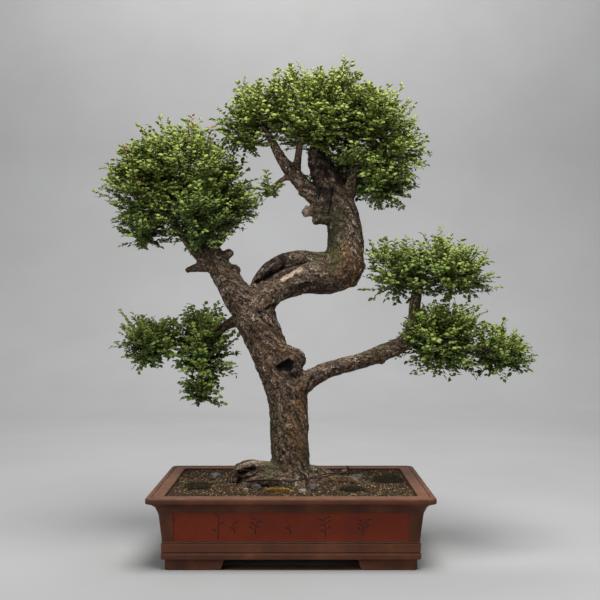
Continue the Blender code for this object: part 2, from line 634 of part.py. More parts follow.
def tie_route():
    """Over the roots, down through the soil and one drain, under the pot and back up."""
    (left_x, left_y), (right_x, right_y) = drain_places()
    shift = SCREEN_CELL / 2
    under = UNDERSIDE - 0.004
    twist = tree_point(126, 4, 22)
    over = [tree_point(-150, -20, -12), tree_point(-128, -36, 30), tree_point(-84, -72, 36), tree_point(-30, -84, 28),
            tree_point(40, -84, 22), tree_point(88, -40, 22)]
    down_left = [Vector((left_x - shift, left_y - shift, height)) for height in (under + 0.006, POT_FLOOR + 0.02)]
    down_right = [Vector((right_x - shift, right_y - shift, height)) for height in (POT_FLOOR + 0.02, under + 0.006)]
    below = [Vector((right_x - shift - 0.006, right_y - shift, under)),
             Vector((left_x - shift + 0.006, left_y - shift, under))]
    start = [twist + Vector((0.003, 0.003, 0.012)), twist + Vector((0.003, 0.003, -0.004))]
    finish = [twist + Vector((-0.002, 0.0, 0.0)), twist + Vector((-0.001, 0.0, 0.014))]
    return start + down_right + below + down_left + over + finish


def build_tie_wire(soil):
    route = smooth_route(tie_route(), 4)
    wire = tube_mesh("tie_wire", route, [TIE_WIRE / 2] * len(route), 6)
    add_part("tie_wire", wire, material("tie_wire", (0.09, 0.06, 0.04), 0.5, 0.8))
    room = tube_mesh("tie_wire_room", route, [TIE_WIRE / 2 + GAP] * len(route), 6)
    cut(soil, add_cutter("tie_wire_room", room))


# ------------------------------------------------------------------ assembly

def centre_on_base():
    """Move everything so that the origin is under the middle of the whole object."""
    bpy.context.view_layer.update()
    graph = bpy.context.evaluated_depsgraph_get()
    corners = []
    for item in parts.objects:
        shown = item.evaluated_get(graph)
        corners += [shown.matrix_world @ Vector(corner) for corner in shown.bound_box]
    low = [min(corner[axis] for corner in corners) for axis in range(3)]
    high = [max(corner[axis] for corner in corners) for axis in range(3)]
    origin.location = (-(low[0] + high[0]) / 2, -(low[1] + high[1]) / 2, -low[2])
    bpy.context.view_layer.update()


clear_scene()
parts = new_collection("bonsai_tree_in_a_pot")
cutters = new_collection("cutters")
origin = bpy.data.objects.new("bonsai_origin", None)
bpy.context.scene.collection.objects.link(origin)

build_pot()
tree_wood = build_wood()
wood_room = add_cutter("wood_room", grown(evaluated_mesh(tree_wood), ROOM))
build_leaves(tree_wood, wood_room)
bed = build_soil()
cut(bed, wood_room)
build_stones(bed)
build_moss(bed, wood_room)
build_screens(bed)
build_tie_wire(bed)
centre_on_base()
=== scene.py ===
"""The looks of a bonsai tree in a pot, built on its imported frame.

The sections follow the object as it is potted: the pot, its drain screens and wires,
the soil with its grit and litter, the wood, the leaves on their twigs, the moss and
the stones, and last the plain floor, light and camera.
"""

import math
import random

import bmesh
import bpy
import numpy as np
from mathutils import Matrix, Vector, noise
from mathutils.bvhtree import BVHTree


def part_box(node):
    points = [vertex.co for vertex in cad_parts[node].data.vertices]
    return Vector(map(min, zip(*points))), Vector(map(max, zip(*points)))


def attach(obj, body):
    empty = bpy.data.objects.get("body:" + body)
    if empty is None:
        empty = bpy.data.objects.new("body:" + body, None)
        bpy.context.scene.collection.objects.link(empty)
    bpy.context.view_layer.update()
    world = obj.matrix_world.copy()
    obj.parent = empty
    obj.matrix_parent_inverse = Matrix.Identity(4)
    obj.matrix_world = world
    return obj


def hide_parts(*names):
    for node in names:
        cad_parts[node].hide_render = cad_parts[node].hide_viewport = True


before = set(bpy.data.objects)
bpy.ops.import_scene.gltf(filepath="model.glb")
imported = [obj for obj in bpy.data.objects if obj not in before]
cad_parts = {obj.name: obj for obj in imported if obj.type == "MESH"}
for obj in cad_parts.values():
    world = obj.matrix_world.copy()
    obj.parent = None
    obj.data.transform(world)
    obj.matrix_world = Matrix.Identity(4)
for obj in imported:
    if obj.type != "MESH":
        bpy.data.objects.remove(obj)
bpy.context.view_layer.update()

# ------------------------------------------------------------------ pot
# Unglazed stoneware, pressed in a mould and fired once: brown clay with a redder panel
# sunk in each side, a rim with a rolled edge, and sprigs cut into the front panel.

MM = 0.001
pot_low, pot_high = (Vector(corner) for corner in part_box("pot"))
POT = (pot_low + pot_high) / 2
HALF_X = (pot_high.x - pot_low.x) / 2
HALF_Y = (pot_high.y - pot_low.y) / 2
RIM_TOP = pot_high.z
RIM_WIDTH = 36 * MM
RIM_DROP = 13 * MM
RIM_CORNER = 14 * MM
COVE_BASE = RIM_TOP - 42 * MM
BAND_TOP = 56 * MM
SKIRT_TOP = 35 * MM
FOOT_HEIGHT = 23 * MM
UNDERSIDE = 25 * MM
POT_FLOOR = 37 * MM
BAND_INSET = 29.5 * MM
FOOT_INSET = 36.5 * MM
WALL_TOP_INSET = 25.5 * MM
WALL_LOW_INSET = 32 * MM
FRONT_FOOT_RUN = 122 * MM
SIDE_FOOT_RUN = 90 * MM
CORNER_POST = 23 * MM
PANEL_SINK = 2.5 * MM
DRAIN_RADIUS = 14 * MM


def linear(code):
    """An sRGB hex colour as linear RGBA."""
    values = [int(code[i:i + 2], 16) / 255 for i in (1, 3, 5)]
    return (*(v / 12.92 if v <= 0.04045 else ((v + 0.055) / 1.055) ** 2.4 for v in values), 1.0)


def add(tree, kind, inputs=None, **settings):
    """Add a node, set its properties, and fill or link its inputs by name or number."""
    item = tree.nodes.new(kind)
    for name, value in settings.items():
        setattr(item, name, value)
    for name, value in (inputs or {}).items():
        if isinstance(value, bpy.types.NodeSocket):
            tree.links.new(value, item.inputs[name])
        else:
            item.inputs[name].default_value = value
    return item


def put(tree, kind, inputs=None, **settings):
    """Add a node in the same way and give its first output."""
    return add(tree, kind, inputs, **settings).outputs[0]


def combine(tree, operation, one, other):
    """Two values put together, or one tested against the other."""
    return put(tree, "ShaderNodeMath", {0: one, 1: other}, operation=operation)


def ramp(tree, factor, stops):
    """A colour ramp through (place, hex colour) stops."""
    item = add(tree, "ShaderNodeValToRGB", {0: factor})
    for end in (0, -1):
        item.color_ramp.elements[end].position = stops[end][0]
        item.color_ramp.elements[end].color = linear(stops[end][1])
    for place, code in stops[1:-1]:
        item.color_ramp.elements.new(place).color = linear(code)
    return item.outputs[0]


def blend(tree, factor, one, other):
    """Mix two colours by a factor."""
    mix = add(tree, "ShaderNodeMix", {0: factor, 6: one, 7: other}, data_type="RGBA", blend_type="MIX")
    return mix.outputs[2]


def spread(tree, value, low, high, to_low=0.0, to_high=1.0):
    """Stretch a span of values to another, held at its ends."""
    return put(tree, "ShaderNodeMapRange", {0: value, 1: low, 2: high, 3: to_low, 4: to_high})


def grain(tree, where, size, detail=4.0, rough=0.55):
    """Noise whose features are about one size across, in metres."""
    return put(tree, "ShaderNodeTexNoise",
               {"Vector": where, "Scale": 1 / size, "Detail": detail, "Roughness": rough})


def new_material(name, **shader_values):
    """A Principled material, its tree, its shader and the object's own coordinates."""
    surface = bpy.data.materials.new(name)
    surface.use_nodes = True
    tree = surface.node_tree
    shader = tree.nodes["Principled BSDF"]
    for socket, value in shader_values.items():
        shader.inputs[socket.replace("_", " ")].default_value = value
    where = add(tree, "ShaderNodeTexCoord").outputs["Object"]
    return surface, tree, shader, where


def relief(tree, shader, height, distance, strength=1.0):
    """Raise the surface by a height from 0 to 1 over a distance in metres."""
    bump = put(tree, "ShaderNodeBump", {"Strength": strength, "Distance": distance, "Height": height})
    tree.links.new(bump, shader.inputs["Normal"])


def clay(name, dark, mid, pale, dust, rubbed):
    """Fired clay: cloudy from the kiln, sandy to touch, paler where edges are rubbed."""
    surface, tree, shader, where = new_material(name, Roughness=0.7, Specular_IOR_Level=0.22)
    cloud = grain(tree, where, 60 * MM, 5.0, 0.6)
    sand = grain(tree, where, 2.2 * MM, 3.0, 0.7)
    base = ramp(tree, cloud, [(0.3, dark), (0.52, mid), (0.72, pale)])
    base = blend(tree, spread(tree, sand, 0.35, 0.65, 0.0, 0.35), base, linear(dark))
    base = blend(tree, spread(tree, sand, 0.62, 0.72), base, linear(pale))
    skin = add(tree, "ShaderNodeNewGeometry").outputs
    base = blend(tree, spread(tree, skin["Pointiness"], 0.52, 0.60, 0.0, rubbed), base, linear(pale))
    facing = add(tree, "ShaderNodeSeparateXYZ", {0: skin["Normal"]})
    settled = combine(tree, "MULTIPLY", spread(tree, facing.outputs["Z"], 0.4, 1.0),
                      spread(tree, grain(tree, where, 25 * MM), 0.35, 0.7, 0.35, 0.9))
    base = blend(tree, settled, base, linear(dust))
    tree.links.new(base, shader.inputs["Base Color"])
    tree.links.new(spread(tree, cloud, 0.3, 0.7, 0.58, 0.76), shader.inputs["Roughness"])
    relief(tree, shader, sand, 0.5 * MM, 0.35)
    return surface


def shaded_groove():
    """The cut lines of the sprigs, coloured near black-brown as painted shade in the grooves."""
    surface, tree, shader, where = new_material("painted_shade_groove", Roughness=0.85)
    base = ramp(tree, grain(tree, where, 4 * MM), [(0.35, "#2c150e"), (0.65, "#43201a")])
    tree.links.new(base, shader.inputs["Base Color"])
    return surface


brown_clay = clay("brown_stoneware", "#371d13", "#502b1b", "#69402b", "#71503b", 0.7)
red_clay = clay("red_stoneware", "#5f200f", "#6e2811", "#7b3316", "#6c3c26", 0.0)
# The sprig cuts take this dark colour: painted shade in the grooves.
groove_shade = shaded_groove()


def mesh_of(name, shape, closed=True):
    """Turn a bmesh into a mesh, which faces out if it is closed."""
    if closed:
        bmesh.ops.recalc_face_normals(shape, faces=shape.faces)
    mesh = bpy.data.meshes.new(name)
    shape.to_mesh(mesh)
    shape.free()
    return mesh


def link(name, mesh):
    item = bpy.data.objects.new(name, mesh)
    bpy.context.scene.collection.objects.link(item)
    return item


def plain(item):
    """The object's shape with its modifiers applied, as a new mesh; the object goes."""
    bpy.context.view_layer.update()
    graph = bpy.context.evaluated_depsgraph_get()
    mesh = bpy.data.meshes.new_from_object(item.evaluated_get(graph))
    bpy.data.objects.remove(item)
    return mesh


def finish_piece(name, mesh, slot, nodes=(), sharp=None):
    """Show a finished mesh: shaded, riding on the object, and standing for its CAD nodes."""
    mesh.shade_smooth()
    if sharp is not None:
        mesh.set_sharp_from_angle(angle=math.radians(sharp))
    item = link(name, mesh)
    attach(item, "root")
    if nodes:
        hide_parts(*nodes)
    return item


def rounded_rectangle(half_x, half_y, radius, z, corner_steps, side_steps):
    """Points round a rectangle with round corners about the pot's middle."""
    ring = []
    centres = [(half_x - radius, half_y - radius), (radius - half_x, half_y - radius),
               (radius - half_x, radius - half_y), (half_x - radius, radius - half_y)]
    for quarter, (x, y) in enumerate(centres):
        turns = [math.pi / 2 * (quarter + step / corner_steps) for step in range(corner_steps + 1)]
        ring += [Vector((x + radius * math.cos(turn), y + radius * math.sin(turn), z))
                 for turn in turns]
        next_x, next_y = centres[(quarter + 1) % 4]
        last = turns[-1]
        there = Vector((next_x + radius * math.cos(last), next_y + radius * math.sin(last), z))
        here = ring[-1]
        ring += [here.lerp(there, step / side_steps) for step in range(1, side_steps)]
    return [point + Vector((POT.x, POT.y, 0.0)) for point in ring]


def close_over(shape, rows, caps):
    """Faces from each ring of vertices to the next, and one over each end."""
    for row, following in zip(rows, rows[1:]):
        for index, vert in enumerate(row):
            after = (index + 1) % len(row)
            shape.faces.new((vert, row[after], following[after], following[index]))
    for cap in caps:
        shape.faces.new(cap)


def loft(name, rings):
    """A closed solid through rings of equally many points."""
    shape = bmesh.new()
    rows = [[shape.verts.new(point) for point in ring] for ring in rings]
    close_over(shape, rows, (rows[0], rows[-1]))
    return mesh_of(name, shape)


def arc(centre_in, centre_z, radius_in, radius_z, start, end, steps):
    """Profile points on an ellipse's arc, in degrees, as (inset, height)."""
    turns = [math.radians(start + (end - start) * step / steps) for step in range(steps + 1)]
    return [(centre_in + radius_in * math.cos(turn), centre_z + radius_z * math.sin(turn))
            for turn in turns]


def pot_outline():
    """Inset and height down the pot: floor, inner wall, rim, cove, wall, mouldings, feet."""
    top = RIM_TOP
    outline = [(RIM_WIDTH + 4 * MM, POT_FLOOR), (RIM_WIDTH + 0.3 * MM, top - 6 * MM)]
    outline += arc(RIM_WIDTH - 3 * MM, top - 4 * MM, 3 * MM, 3 * MM, 0, 90, 5)
    outline += [(20 * MM, top - 1.2 * MM), (13.5 * MM, top - 1.4 * MM)]
    outline += arc(12 * MM, top - 1.4 * MM, 1.4 * MM, 1.8 * MM, 0, -180, 6)
    outline += arc(5.5 * MM, top - 4.5 * MM, 5.3 * MM, 4.5 * MM, 50, 180, 8)
    outline += arc(3.2 * MM, top - RIM_DROP + 3 * MM, 3.2 * MM, 3 * MM, 190, 270, 4)
    cove = [(3.2 * MM, top - RIM_DROP), (22 * MM, top - RIM_DROP - 6.5 * MM),
            (WALL_TOP_INSET, COVE_BASE)]
    for share in (0.12, 0.25, 0.38, 0.5, 0.62, 0.74, 0.87, 1.0):
        near_edge, bend, foot = (1 - share) ** 2, 2 * share * (1 - share), share ** 2
        outline.append(tuple(near_edge * a + bend * b + foot * c for a, b, c in zip(*cove)))
    outline += [(WALL_TOP_INSET, COVE_BASE - 1 * MM), (WALL_LOW_INSET - 0.6 * MM, BAND_TOP + 3 * MM)]
    outline += arc(WALL_LOW_INSET + 1.2 * MM, BAND_TOP + 3 * MM, 3 * MM, 3 * MM, 200, 250, 3)
    outline += arc(BAND_INSET + 1.6 * MM, BAND_TOP - 1.8 * MM, 1.8 * MM, 1.8 * MM, 90, 180, 4)
    outline += [(BAND_INSET + 0.3 * MM, SKIRT_TOP + 4 * MM)]
    outline += arc(BAND_INSET + 0.2 * MM, SKIRT_TOP + 2.2 * MM, 1.9 * MM, 1.6 * MM, 60, -60, 4)
    outline += arc(BAND_INSET + 1.4 * MM, SKIRT_TOP - 2 * MM, 1.9 * MM, 1.7 * MM, 100, 180, 4)
    outline += arc(BAND_INSET + 1.2 * MM, FOOT_HEIGHT + 2 * MM, 1.7 * MM, 1.8 * MM, 180, 268, 4)
    outline += [(FOOT_INSET, FOOT_HEIGHT + 0.2 * MM)]
    outline += arc(FOOT_INSET + 1.4 * MM, 1.4 * MM, 1.3 * MM, 1.4 * MM, 180, 270, 3)
    outline += [(FOOT_INSET + 38 * MM, 0.0), (FOOT_INSET + 38 * MM, UNDERSIDE)]
    return outline


def corner_radius(inset):
    return RIM_CORNER if inset < 20 * MM or inset > FOOT_INSET + 1 * MM else RIM_CORNER * 0.55


def cut_with(item, name, mesh, surface):
    """Cut a shape out, and give the cut faces the cutter's material."""
    mesh.materials.clear()
    mesh.materials.append(surface)
    tool = link(name, mesh)
    step = item.modifiers.new(name, "BOOLEAN")
    step.operation = "DIFFERENCE"
    step.solver = "EXACT"
    step.material_mode = "TRANSFER"
    step.object = tool
    return tool


def soft_box(name, low, high, radius):
    """A box with its edges rounded."""
    shape = bmesh.new()
    size = [b - a for a, b in zip(low, high)]
    middle = [(a + b) / 2 for a, b in zip(low, high)]
    fit = Matrix.Translation(middle) @ Matrix.Diagonal((*size, 1.0))
    bmesh.ops.create_cube(shape, size=1.0, matrix=fit)
    bmesh.ops.bevel(shape, geom=shape.edges[:], offset=radius, segments=3, affect="EDGES", profile=0.5)
    return mesh_of(name, shape)


def foot_gap(name, half_gap, half_run, turn):
    """A bar through the base whose ends curve like the feet."""
    side = [(half_gap - 4 * MM, FOOT_HEIGHT), (half_gap - 2.5 * MM, FOOT_HEIGHT - 2 * MM)]
    side += [(half_gap + 6 * MM * (1 - math.cos(math.radians(step * 15))),
              FOOT_HEIGHT - 4 * MM - step * 3.1 * MM) for step in range(7)]
    outline = side + [(-x, z) for x, z in reversed(side)]
    frame_turn = Matrix.Rotation(turn, 3, "Z")
    rings = [[frame_turn @ Vector((x, y, z)) + Vector((POT.x, POT.y, 0)) for x, z in outline]
             for y in (-half_run, half_run)]
    return loft(name, rings)


LEAN = math.atan2(WALL_LOW_INSET - WALL_TOP_INSET, COVE_BASE - BAND_TOP)
PANEL_TOP = COVE_BASE + 9 * MM
PANEL_FOOT = BAND_TOP + 5 * MM
PANEL_MIDDLE = (PANEL_FOOT + PANEL_TOP) / 2
PANEL_HALF_HEIGHT = (PANEL_TOP - PANEL_FOOT) / 2
PANEL_RISE = (WALL_LOW_INSET - WALL_TOP_INSET) * (PANEL_MIDDLE - BAND_TOP) / (COVE_BASE - BAND_TOP)
PANEL_INSET = WALL_LOW_INSET - PANEL_RISE
LONG_PANEL = HALF_X - WALL_LOW_INSET - CORNER_POST
SHORT_PANEL = HALF_Y - WALL_LOW_INSET - CORNER_POST


def on_wall(turn, half_width):
    """The frame of a side's wall: X along it, -Y out of it, Z up it."""
    face = half_width - PANEL_INSET
    return (Matrix.Translation((POT.x, POT.y, 0)) @ Matrix.Rotation(turn, 4, "Z")
            @ Matrix.Translation((0, -face, PANEL_MIDDLE)) @ Matrix.Rotation(LEAN, 4, "X"))


def heading_at(points, index):
    """The way a line runs at one of its points."""
    return (points[min(index + 1, len(points) - 1)] - points[max(index - 1, 0)]).normalized()


def stroke(shape, points, widths):
    """Add one tapered cut line, as a tube of square rings turned on edge."""
    rows = []
    for index, (point, width) in enumerate(zip(points, widths)):
        along = heading_at(points, index)
        side = Vector((along.z, 0.0, -along.x)) * width
        deep = Vector((0.0, width * 0.8, 0.0))
        rows.append([shape.verts.new(point + move) for move in (side, deep, -side, -deep)])
    close_over(shape, rows, (rows[0], rows[-1]))


def sprig(shape, x, foot, height, lean, leaf_count, seed):
    """A plain plant sprig: one bent stem and short leaves to both sides."""

    def on_stem(share):
        return Vector((x + lean * share * share, PANEL_SINK, foot + height * share))

    pick = random.Random(seed)
    stem = [on_stem(share) for share in (0.0, 0.25, 0.5, 0.75, 1.0)]
    stroke(shape, stem, [1.5 * MM, 1.3 * MM, 1.1 * MM, 0.9 * MM, 0.4 * MM])
    for index in range(leaf_count):
        start = on_stem(0.25 + 0.65 * index / max(leaf_count - 1, 1))
        hand = 1 if index % 2 else -1
        out = hand * pick.uniform(7, 13) * MM
        rise = pick.uniform(3, 9) * MM
        start += Vector((hand * 2.6 * MM, 0, 0))
        leaf = [start, start + Vector((out * 0.5, 0, rise * 0.7)), start + Vector((out, 0, rise))]
        stroke(shape, leaf, [0.6 * MM, 1.7 * MM, 0.4 * MM])


rings = [rounded_rectangle(HALF_X - inset, HALF_Y - inset, corner_radius(inset), z, 6, 1)
         for inset, z in pot_outline()]
pot_body = link("pot_body", loft("pot_body", rings))
pot_body.data.materials.append(brown_clay)
tools = []
for name, half_gap, half_run, turn in (
        ("front_gap", HALF_X - FOOT_INSET - FRONT_FOOT_RUN, HALF_Y, 0),
        ("side_gap", HALF_Y - FOOT_INSET - SIDE_FOOT_RUN, HALF_X, math.pi / 2)):
    tools.append(cut_with(pot_body, name, foot_gap(name, half_gap, half_run, turn), brown_clay))
sides = [(LONG_PANEL, HALF_Y, 0), (SHORT_PANEL, HALF_X, math.pi / 2),
         (LONG_PANEL, HALF_Y, math.pi), (SHORT_PANEL, HALF_X, -math.pi / 2)]
for index, (half_length, half_width, turn) in enumerate(sides):
    slab = soft_box("panel", (-half_length, -20 * MM, -PANEL_HALF_HEIGHT),
                    (half_length, PANEL_SINK, PANEL_HALF_HEIGHT), 1.6 * MM)
    slab.transform(on_wall(turn, half_width))
    tools.append(cut_with(pot_body, "panel_%d" % index, slab, red_clay))
for number in (1, 2):
    low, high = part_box("drain_screen_%d" % number)
    shape = bmesh.new()
    hole = Matrix.Translation(((low.x + high.x) / 2, (low.y + high.y) / 2, 30 * MM))
    bmesh.ops.create_cone(shape, cap_ends=True, segments=32, radius1=DRAIN_RADIUS,
                          radius2=DRAIN_RADIUS, depth=36 * MM, matrix=hole)
    tools.append(cut_with(pot_body, "drain_%d" % number, mesh_of("drain", shape), brown_clay))

# Incised sprigs in millimetres: right, foot, height and lean of the stem, and how many leaves.
SPRIGS = [(-151, -26, 54, 3, 3), (-117, -14, 24, -4, 2), (-74, -16, 32, 6, 5), (-1, -16, 34, -12, 1),
          (72, -22, 44, -3, 6), (150, -18, 34, 5, 6)]
lines = bmesh.new()
for seed, (*place, leaf_count) in enumerate(SPRIGS):
    sprig(lines, *(value * MM for value in place), leaf_count, seed)
cuts = mesh_of("sprigs", lines)
cuts.transform(on_wall(0, HALF_Y))
tools.append(cut_with(pot_body, "sprigs", cuts, groove_shade))
pot_mesh = plain(pot_body)
for tool in tools:
    bpy.data.objects.remove(tool)
finish_piece("stoneware_pot", pot_mesh, "fired_clay", ["pot"], sharp=38)

# ------------------------------------------------------------------ drain screens, clips and tie wire
# Squares of black polyethylene net over the drain holes, each held by a bent clip of
# aluminium wire, and one annealed copper wire that ties the roots down through both holes.


def moulded_net():
    """Moulded polyethylene: black, waxy, with a film of silt."""
    surface, tree, shader, where = new_material("moulded_polyethylene", Roughness=0.45)
    silt = grain(tree, where, 5 * MM)
    tree.links.new(ramp(tree, silt, [(0.4, "#101010"), (0.75, "#2b2621")]), shader.inputs["Base Color"])
    tree.links.new(spread(tree, silt, 0.4, 0.75, 0.4, 0.75), shader.inputs["Roughness"])
    return surface


def drawn_wire(name, bright, dull):
    """Soft drawn wire that has dulled in damp soil: bright only in patches."""
    surface, tree, shader, where = new_material(name, Metallic=0.85)
    film = grain(tree, where, 7 * MM)
    tree.links.new(ramp(tree, film, [(0.35, dull), (0.7, bright)]), shader.inputs["Base Color"])
    tree.links.new(spread(tree, film, 0.35, 0.7, 0.7, 0.42), shader.inputs["Roughness"])
    relief(tree, shader, grain(tree, where, 1.5 * MM), 0.1 * MM, 0.4)
    return surface


def repaint(node, surface):
    """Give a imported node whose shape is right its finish."""
    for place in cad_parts[node].material_slots:
        place.material = surface


net = moulded_net()
clip_metal = drawn_wire("drawn_aluminium", "#a09a92", "#6c675f")
for number in (1, 2):
    repaint("drain_screen_%d" % number, net)
    repaint("screen_clip_%d" % number, clip_metal)
copper_wire = drawn_wire("annealed_copper", "#4a3226", "#241914")
repaint("tie_wire", copper_wire)

# ------------------------------------------------------------------ soil
# Granular bonsai soil, pumice and baked clay with composted bark, nearly level and a few
# millimetres under the rim. Loose grains and straw ends lie on its bed.

SOIL_EDGE = RIM_TOP - 6 * MM
SOIL_MOUND = 3 * MM
SOIL_TOP = SOIL_EDGE + SOIL_MOUND
OPEN_X = HALF_X - RIM_WIDTH
OPEN_Y = HALF_Y - RIM_WIDTH
WALL_GAP = 0.8 * MM
BED_STEPS = 44
SIDE_STEPS = 48


def soil_height(x, y):
    """The bed's height at a place measured from the pot's middle."""
    rise = max((1 - (x / OPEN_X) ** 2) * (1 - (y / OPEN_Y) ** 2), 0.0)
    wave, clod, crumb = (noise.noise(Vector((x * pitch, y * pitch, layer)))
                         for pitch, layer in ((22, 0.0), (90, 4.0), (260, 9.0)))
    clods = 0.0016 * clod + 0.0008 * crumb
    return SOIL_EDGE + SOIL_MOUND * rise + 0.0025 * rise * wave + clods


def noted(tree, name, output="Fac"):
    """What is noted on the mesh under a name."""
    return add(tree, "ShaderNodeAttribute", attribute_name=name).outputs[output]


def soil_material():
    """Damp grit and composted bark, near black in the dips of its bumps as painted shade; ochre and straw
    on the grains.
    """
    surface, tree, shader, where = new_material("granular_bonsai_soil", Roughness=0.93,
                                                Specular_IOR_Level=0.25)
    tint = noted(tree, "grain_tint")
    patch = grain(tree, where, 55 * MM, 3.0)
    crumb = grain(tree, where, 3 * MM, 4.0, 0.7)
    # Darker where the crumb noise is low, which is also where its bumps dip: damp soil tone, and painted
    # shade in the dips.
    damp = ramp(tree, crumb, [(0.3, "#110b07"), (0.5, "#2c1f14"), (0.72, "#553f28")])
    green = blend(tree, spread(tree, patch, 0.52, 0.7, 0.0, 0.55), damp, linear("#343a1c"))
    dry = ramp(tree, tint, [(0.0, "#120c08"), (0.48, "#291c12"), (0.7, "#533a24"), (0.88, "#8a683a"),
                            (1.0, "#c8b285")])
    loose = combine(tree, "GREATER_THAN", tint, 0.001)
    base = blend(tree, loose, green, blend(tree, 0.25, dry, green))
    tree.links.new(base, shader.inputs["Base Color"])
    relief(tree, shader, crumb, 0.8 * MM, 0.7)
    return surface


def geometry_tree(name, *inputs):
    """A geometry tree with a shape in and out, and named inputs with their defaults."""
    tree = bpy.data.node_groups.new(name, "GeometryNodeTree")
    tree.interface.new_socket("Shape", in_out="INPUT", socket_type="NodeSocketGeometry")
    for label, kind, value in inputs:
        socket = tree.interface.new_socket(label, in_out="INPUT", socket_type="NodeSocket" + kind)
        if value is not None:
            socket.default_value = value
    tree.interface.new_socket("Shape", in_out="OUTPUT", socket_type="NodeSocketGeometry")
    return tree, tree.nodes.new("NodeGroupInput").outputs, tree.nodes.new("NodeGroupOutput").inputs[0]


def grow(item, tree, **values):
    """Run a tree on an object with these inputs and return the plain mesh; the object goes."""
    step = item.modifiers.new(tree.name, "NODES")
    step.node_group = tree
    for socket in tree.interface.items_tree:
        if socket.in_out == "INPUT" and socket.name in values:
            step[socket.identifier] = values[socket.name]
    return plain(item)


def painted(tree, shape, surface):
    """Realise instances and set their material: the end of every tree."""
    real = put(tree, "GeometryNodeRealizeInstances", {0: shape})
    return put(tree, "GeometryNodeSetMaterial", {"Geometry": real, "Material": surface})


def stretched(tree, vector, amount):
    return put(tree, "ShaderNodeVectorMath", {0: vector, 3: amount}, operation="SCALE")


def note(tree, shape, name, value, kind="FLOAT", domain="INSTANCE"):
    """Note a value on a shape under a name."""
    return put(tree, "GeometryNodeStoreNamedAttribute", {"Geometry": shape, "Name": name, "Value": value},
               data_type=kind, domain=domain)


def random_value(tree, low, high, seed, kind="FLOAT"):
    item = add(tree, "FunctionNodeRandomValue", {"Seed": seed}, data_type=kind)
    offset = 0 if kind == "FLOAT_VECTOR" else 2
    item.inputs[offset].default_value = low
    item.inputs[offset + 1].default_value = high
    return item.outputs[0 if kind == "FLOAT_VECTOR" else 1]


def scatter_tree(name, make_shape, surface, low, high, tilt):
    """Shapes strewn over faces at random, each with its own size, turn and tint."""
    tree, given, result = geometry_tree(name, ("Density", "Float", 1000.0), ("Spacing", "Float", 0.002),
                                        ("Size", "Float", 0.001), ("Seed", "Int", 1))
    spots = add(tree, "GeometryNodeDistributePointsOnFaces",
                {"Mesh": given["Shape"], "Distance Min": given["Spacing"], "Density Max": given["Density"],
                 "Seed": given["Seed"]}, distribute_method="POISSON")
    turn = put(tree, "FunctionNodeEulerToRotation",
               {0: random_value(tree, (-tilt, -tilt, -3.14), (tilt, tilt, 3.14), 5, "FLOAT_VECTOR")})
    stand = put(tree, "FunctionNodeRotateRotation",
                {"Rotation": spots.outputs["Rotation"], "Rotate By": turn}, rotation_space="LOCAL")
    size = stretched(tree, random_value(tree, low, high, 7, "FLOAT_VECTOR"), given["Size"])
    strewn = put(tree, "GeometryNodeInstanceOnPoints",
                 {"Points": spots.outputs["Points"], "Instance": make_shape(tree), "Rotation": stand,
                  "Scale": size})
    tinted = note(tree, strewn, "grain_tint", random_value(tree, 0.01, 1.0, 9))
    tree.links.new(painted(tree, tinted, surface), result)
    return tree


def soil_bed():
    """The closed bed: from over the drain screens up to the clodded surface."""
    half_x, half_y = OPEN_X - WALL_GAP, OPEN_Y - WALL_GAP
    rings = []
    for z, more in ((POT_FLOOR + 7 * MM, 3.6 * MM), (SOIL_EDGE - 3 * MM, 0.6 * MM)):
        rings.append(rounded_rectangle(half_x - more, half_y - more, RIM_CORNER, z, 6, SIDE_STEPS))
    for step in range(BED_STEPS):
        share = 1 - (step + 0.25) / BED_STEPS
        ring = rounded_rectangle(half_x * share, half_y * share, RIM_CORNER * share, 0.0, 6, SIDE_STEPS)
        for point in ring:
            point.z = soil_height(point.x - POT.x, point.y - POT.y)
        rings.append(ring)
    return loft("soil_bed", rings)


soil = soil_material()
bed_mesh = soil_bed()
bed_mesh.materials.append(soil)
finish_piece("soil_bed", bed_mesh, "soil", ["soil"])


def top_sheet(name):
    """The upward faces of the bed, as a sheet to strew on."""
    shape = bmesh.new()
    shape.from_mesh(bed_mesh)
    gone = [face for face in shape.faces
            if face.normal.z < 0.3 or face.calc_center_median().z < SOIL_EDGE - 4 * MM]
    bmesh.ops.delete(shape, geom=gone, context="FACES")
    return link(name, mesh_of(name, shape, closed=False))


def grit_shape(tree):
    return add(tree, "GeometryNodeMeshIcoSphere", {"Radius": 1.0, "Subdivisions": 1}).outputs["Mesh"]


def straw_shape(tree):
    return add(tree, "GeometryNodeMeshCube", {"Size": (9.0, 0.7, 0.45)}).outputs["Mesh"]


grit = scatter_tree("strewn_grit", grit_shape, soil, (0.4, 0.4, 0.3), (1.5, 1.25, 0.95), 0.7)
finish_piece("soil_grit", grow(top_sheet("grit"), grit, Density=52000.0, Spacing=0.0024, Size=0.0019,
                               Seed=3), "soil")
straw = scatter_tree("strewn_straw", straw_shape, soil, (0.4, 0.6, 0.6), (1.3, 1.3, 1.2), 0.25)
finish_piece("soil_straw", grow(top_sheet("straw"), straw, Density=8200.0, Spacing=0.0024, Size=0.0012,
                                Seed=8), "soil")

# ------------------------------------------------------------------ wood
# One living piece of small-leaved elm: trunk, limbs, burls and surface roots, grown in
# stations along each limb, knitted together, then covered in flaking bark.

TREE_BASE = Vector((POT.x, POT.y, SOIL_TOP))

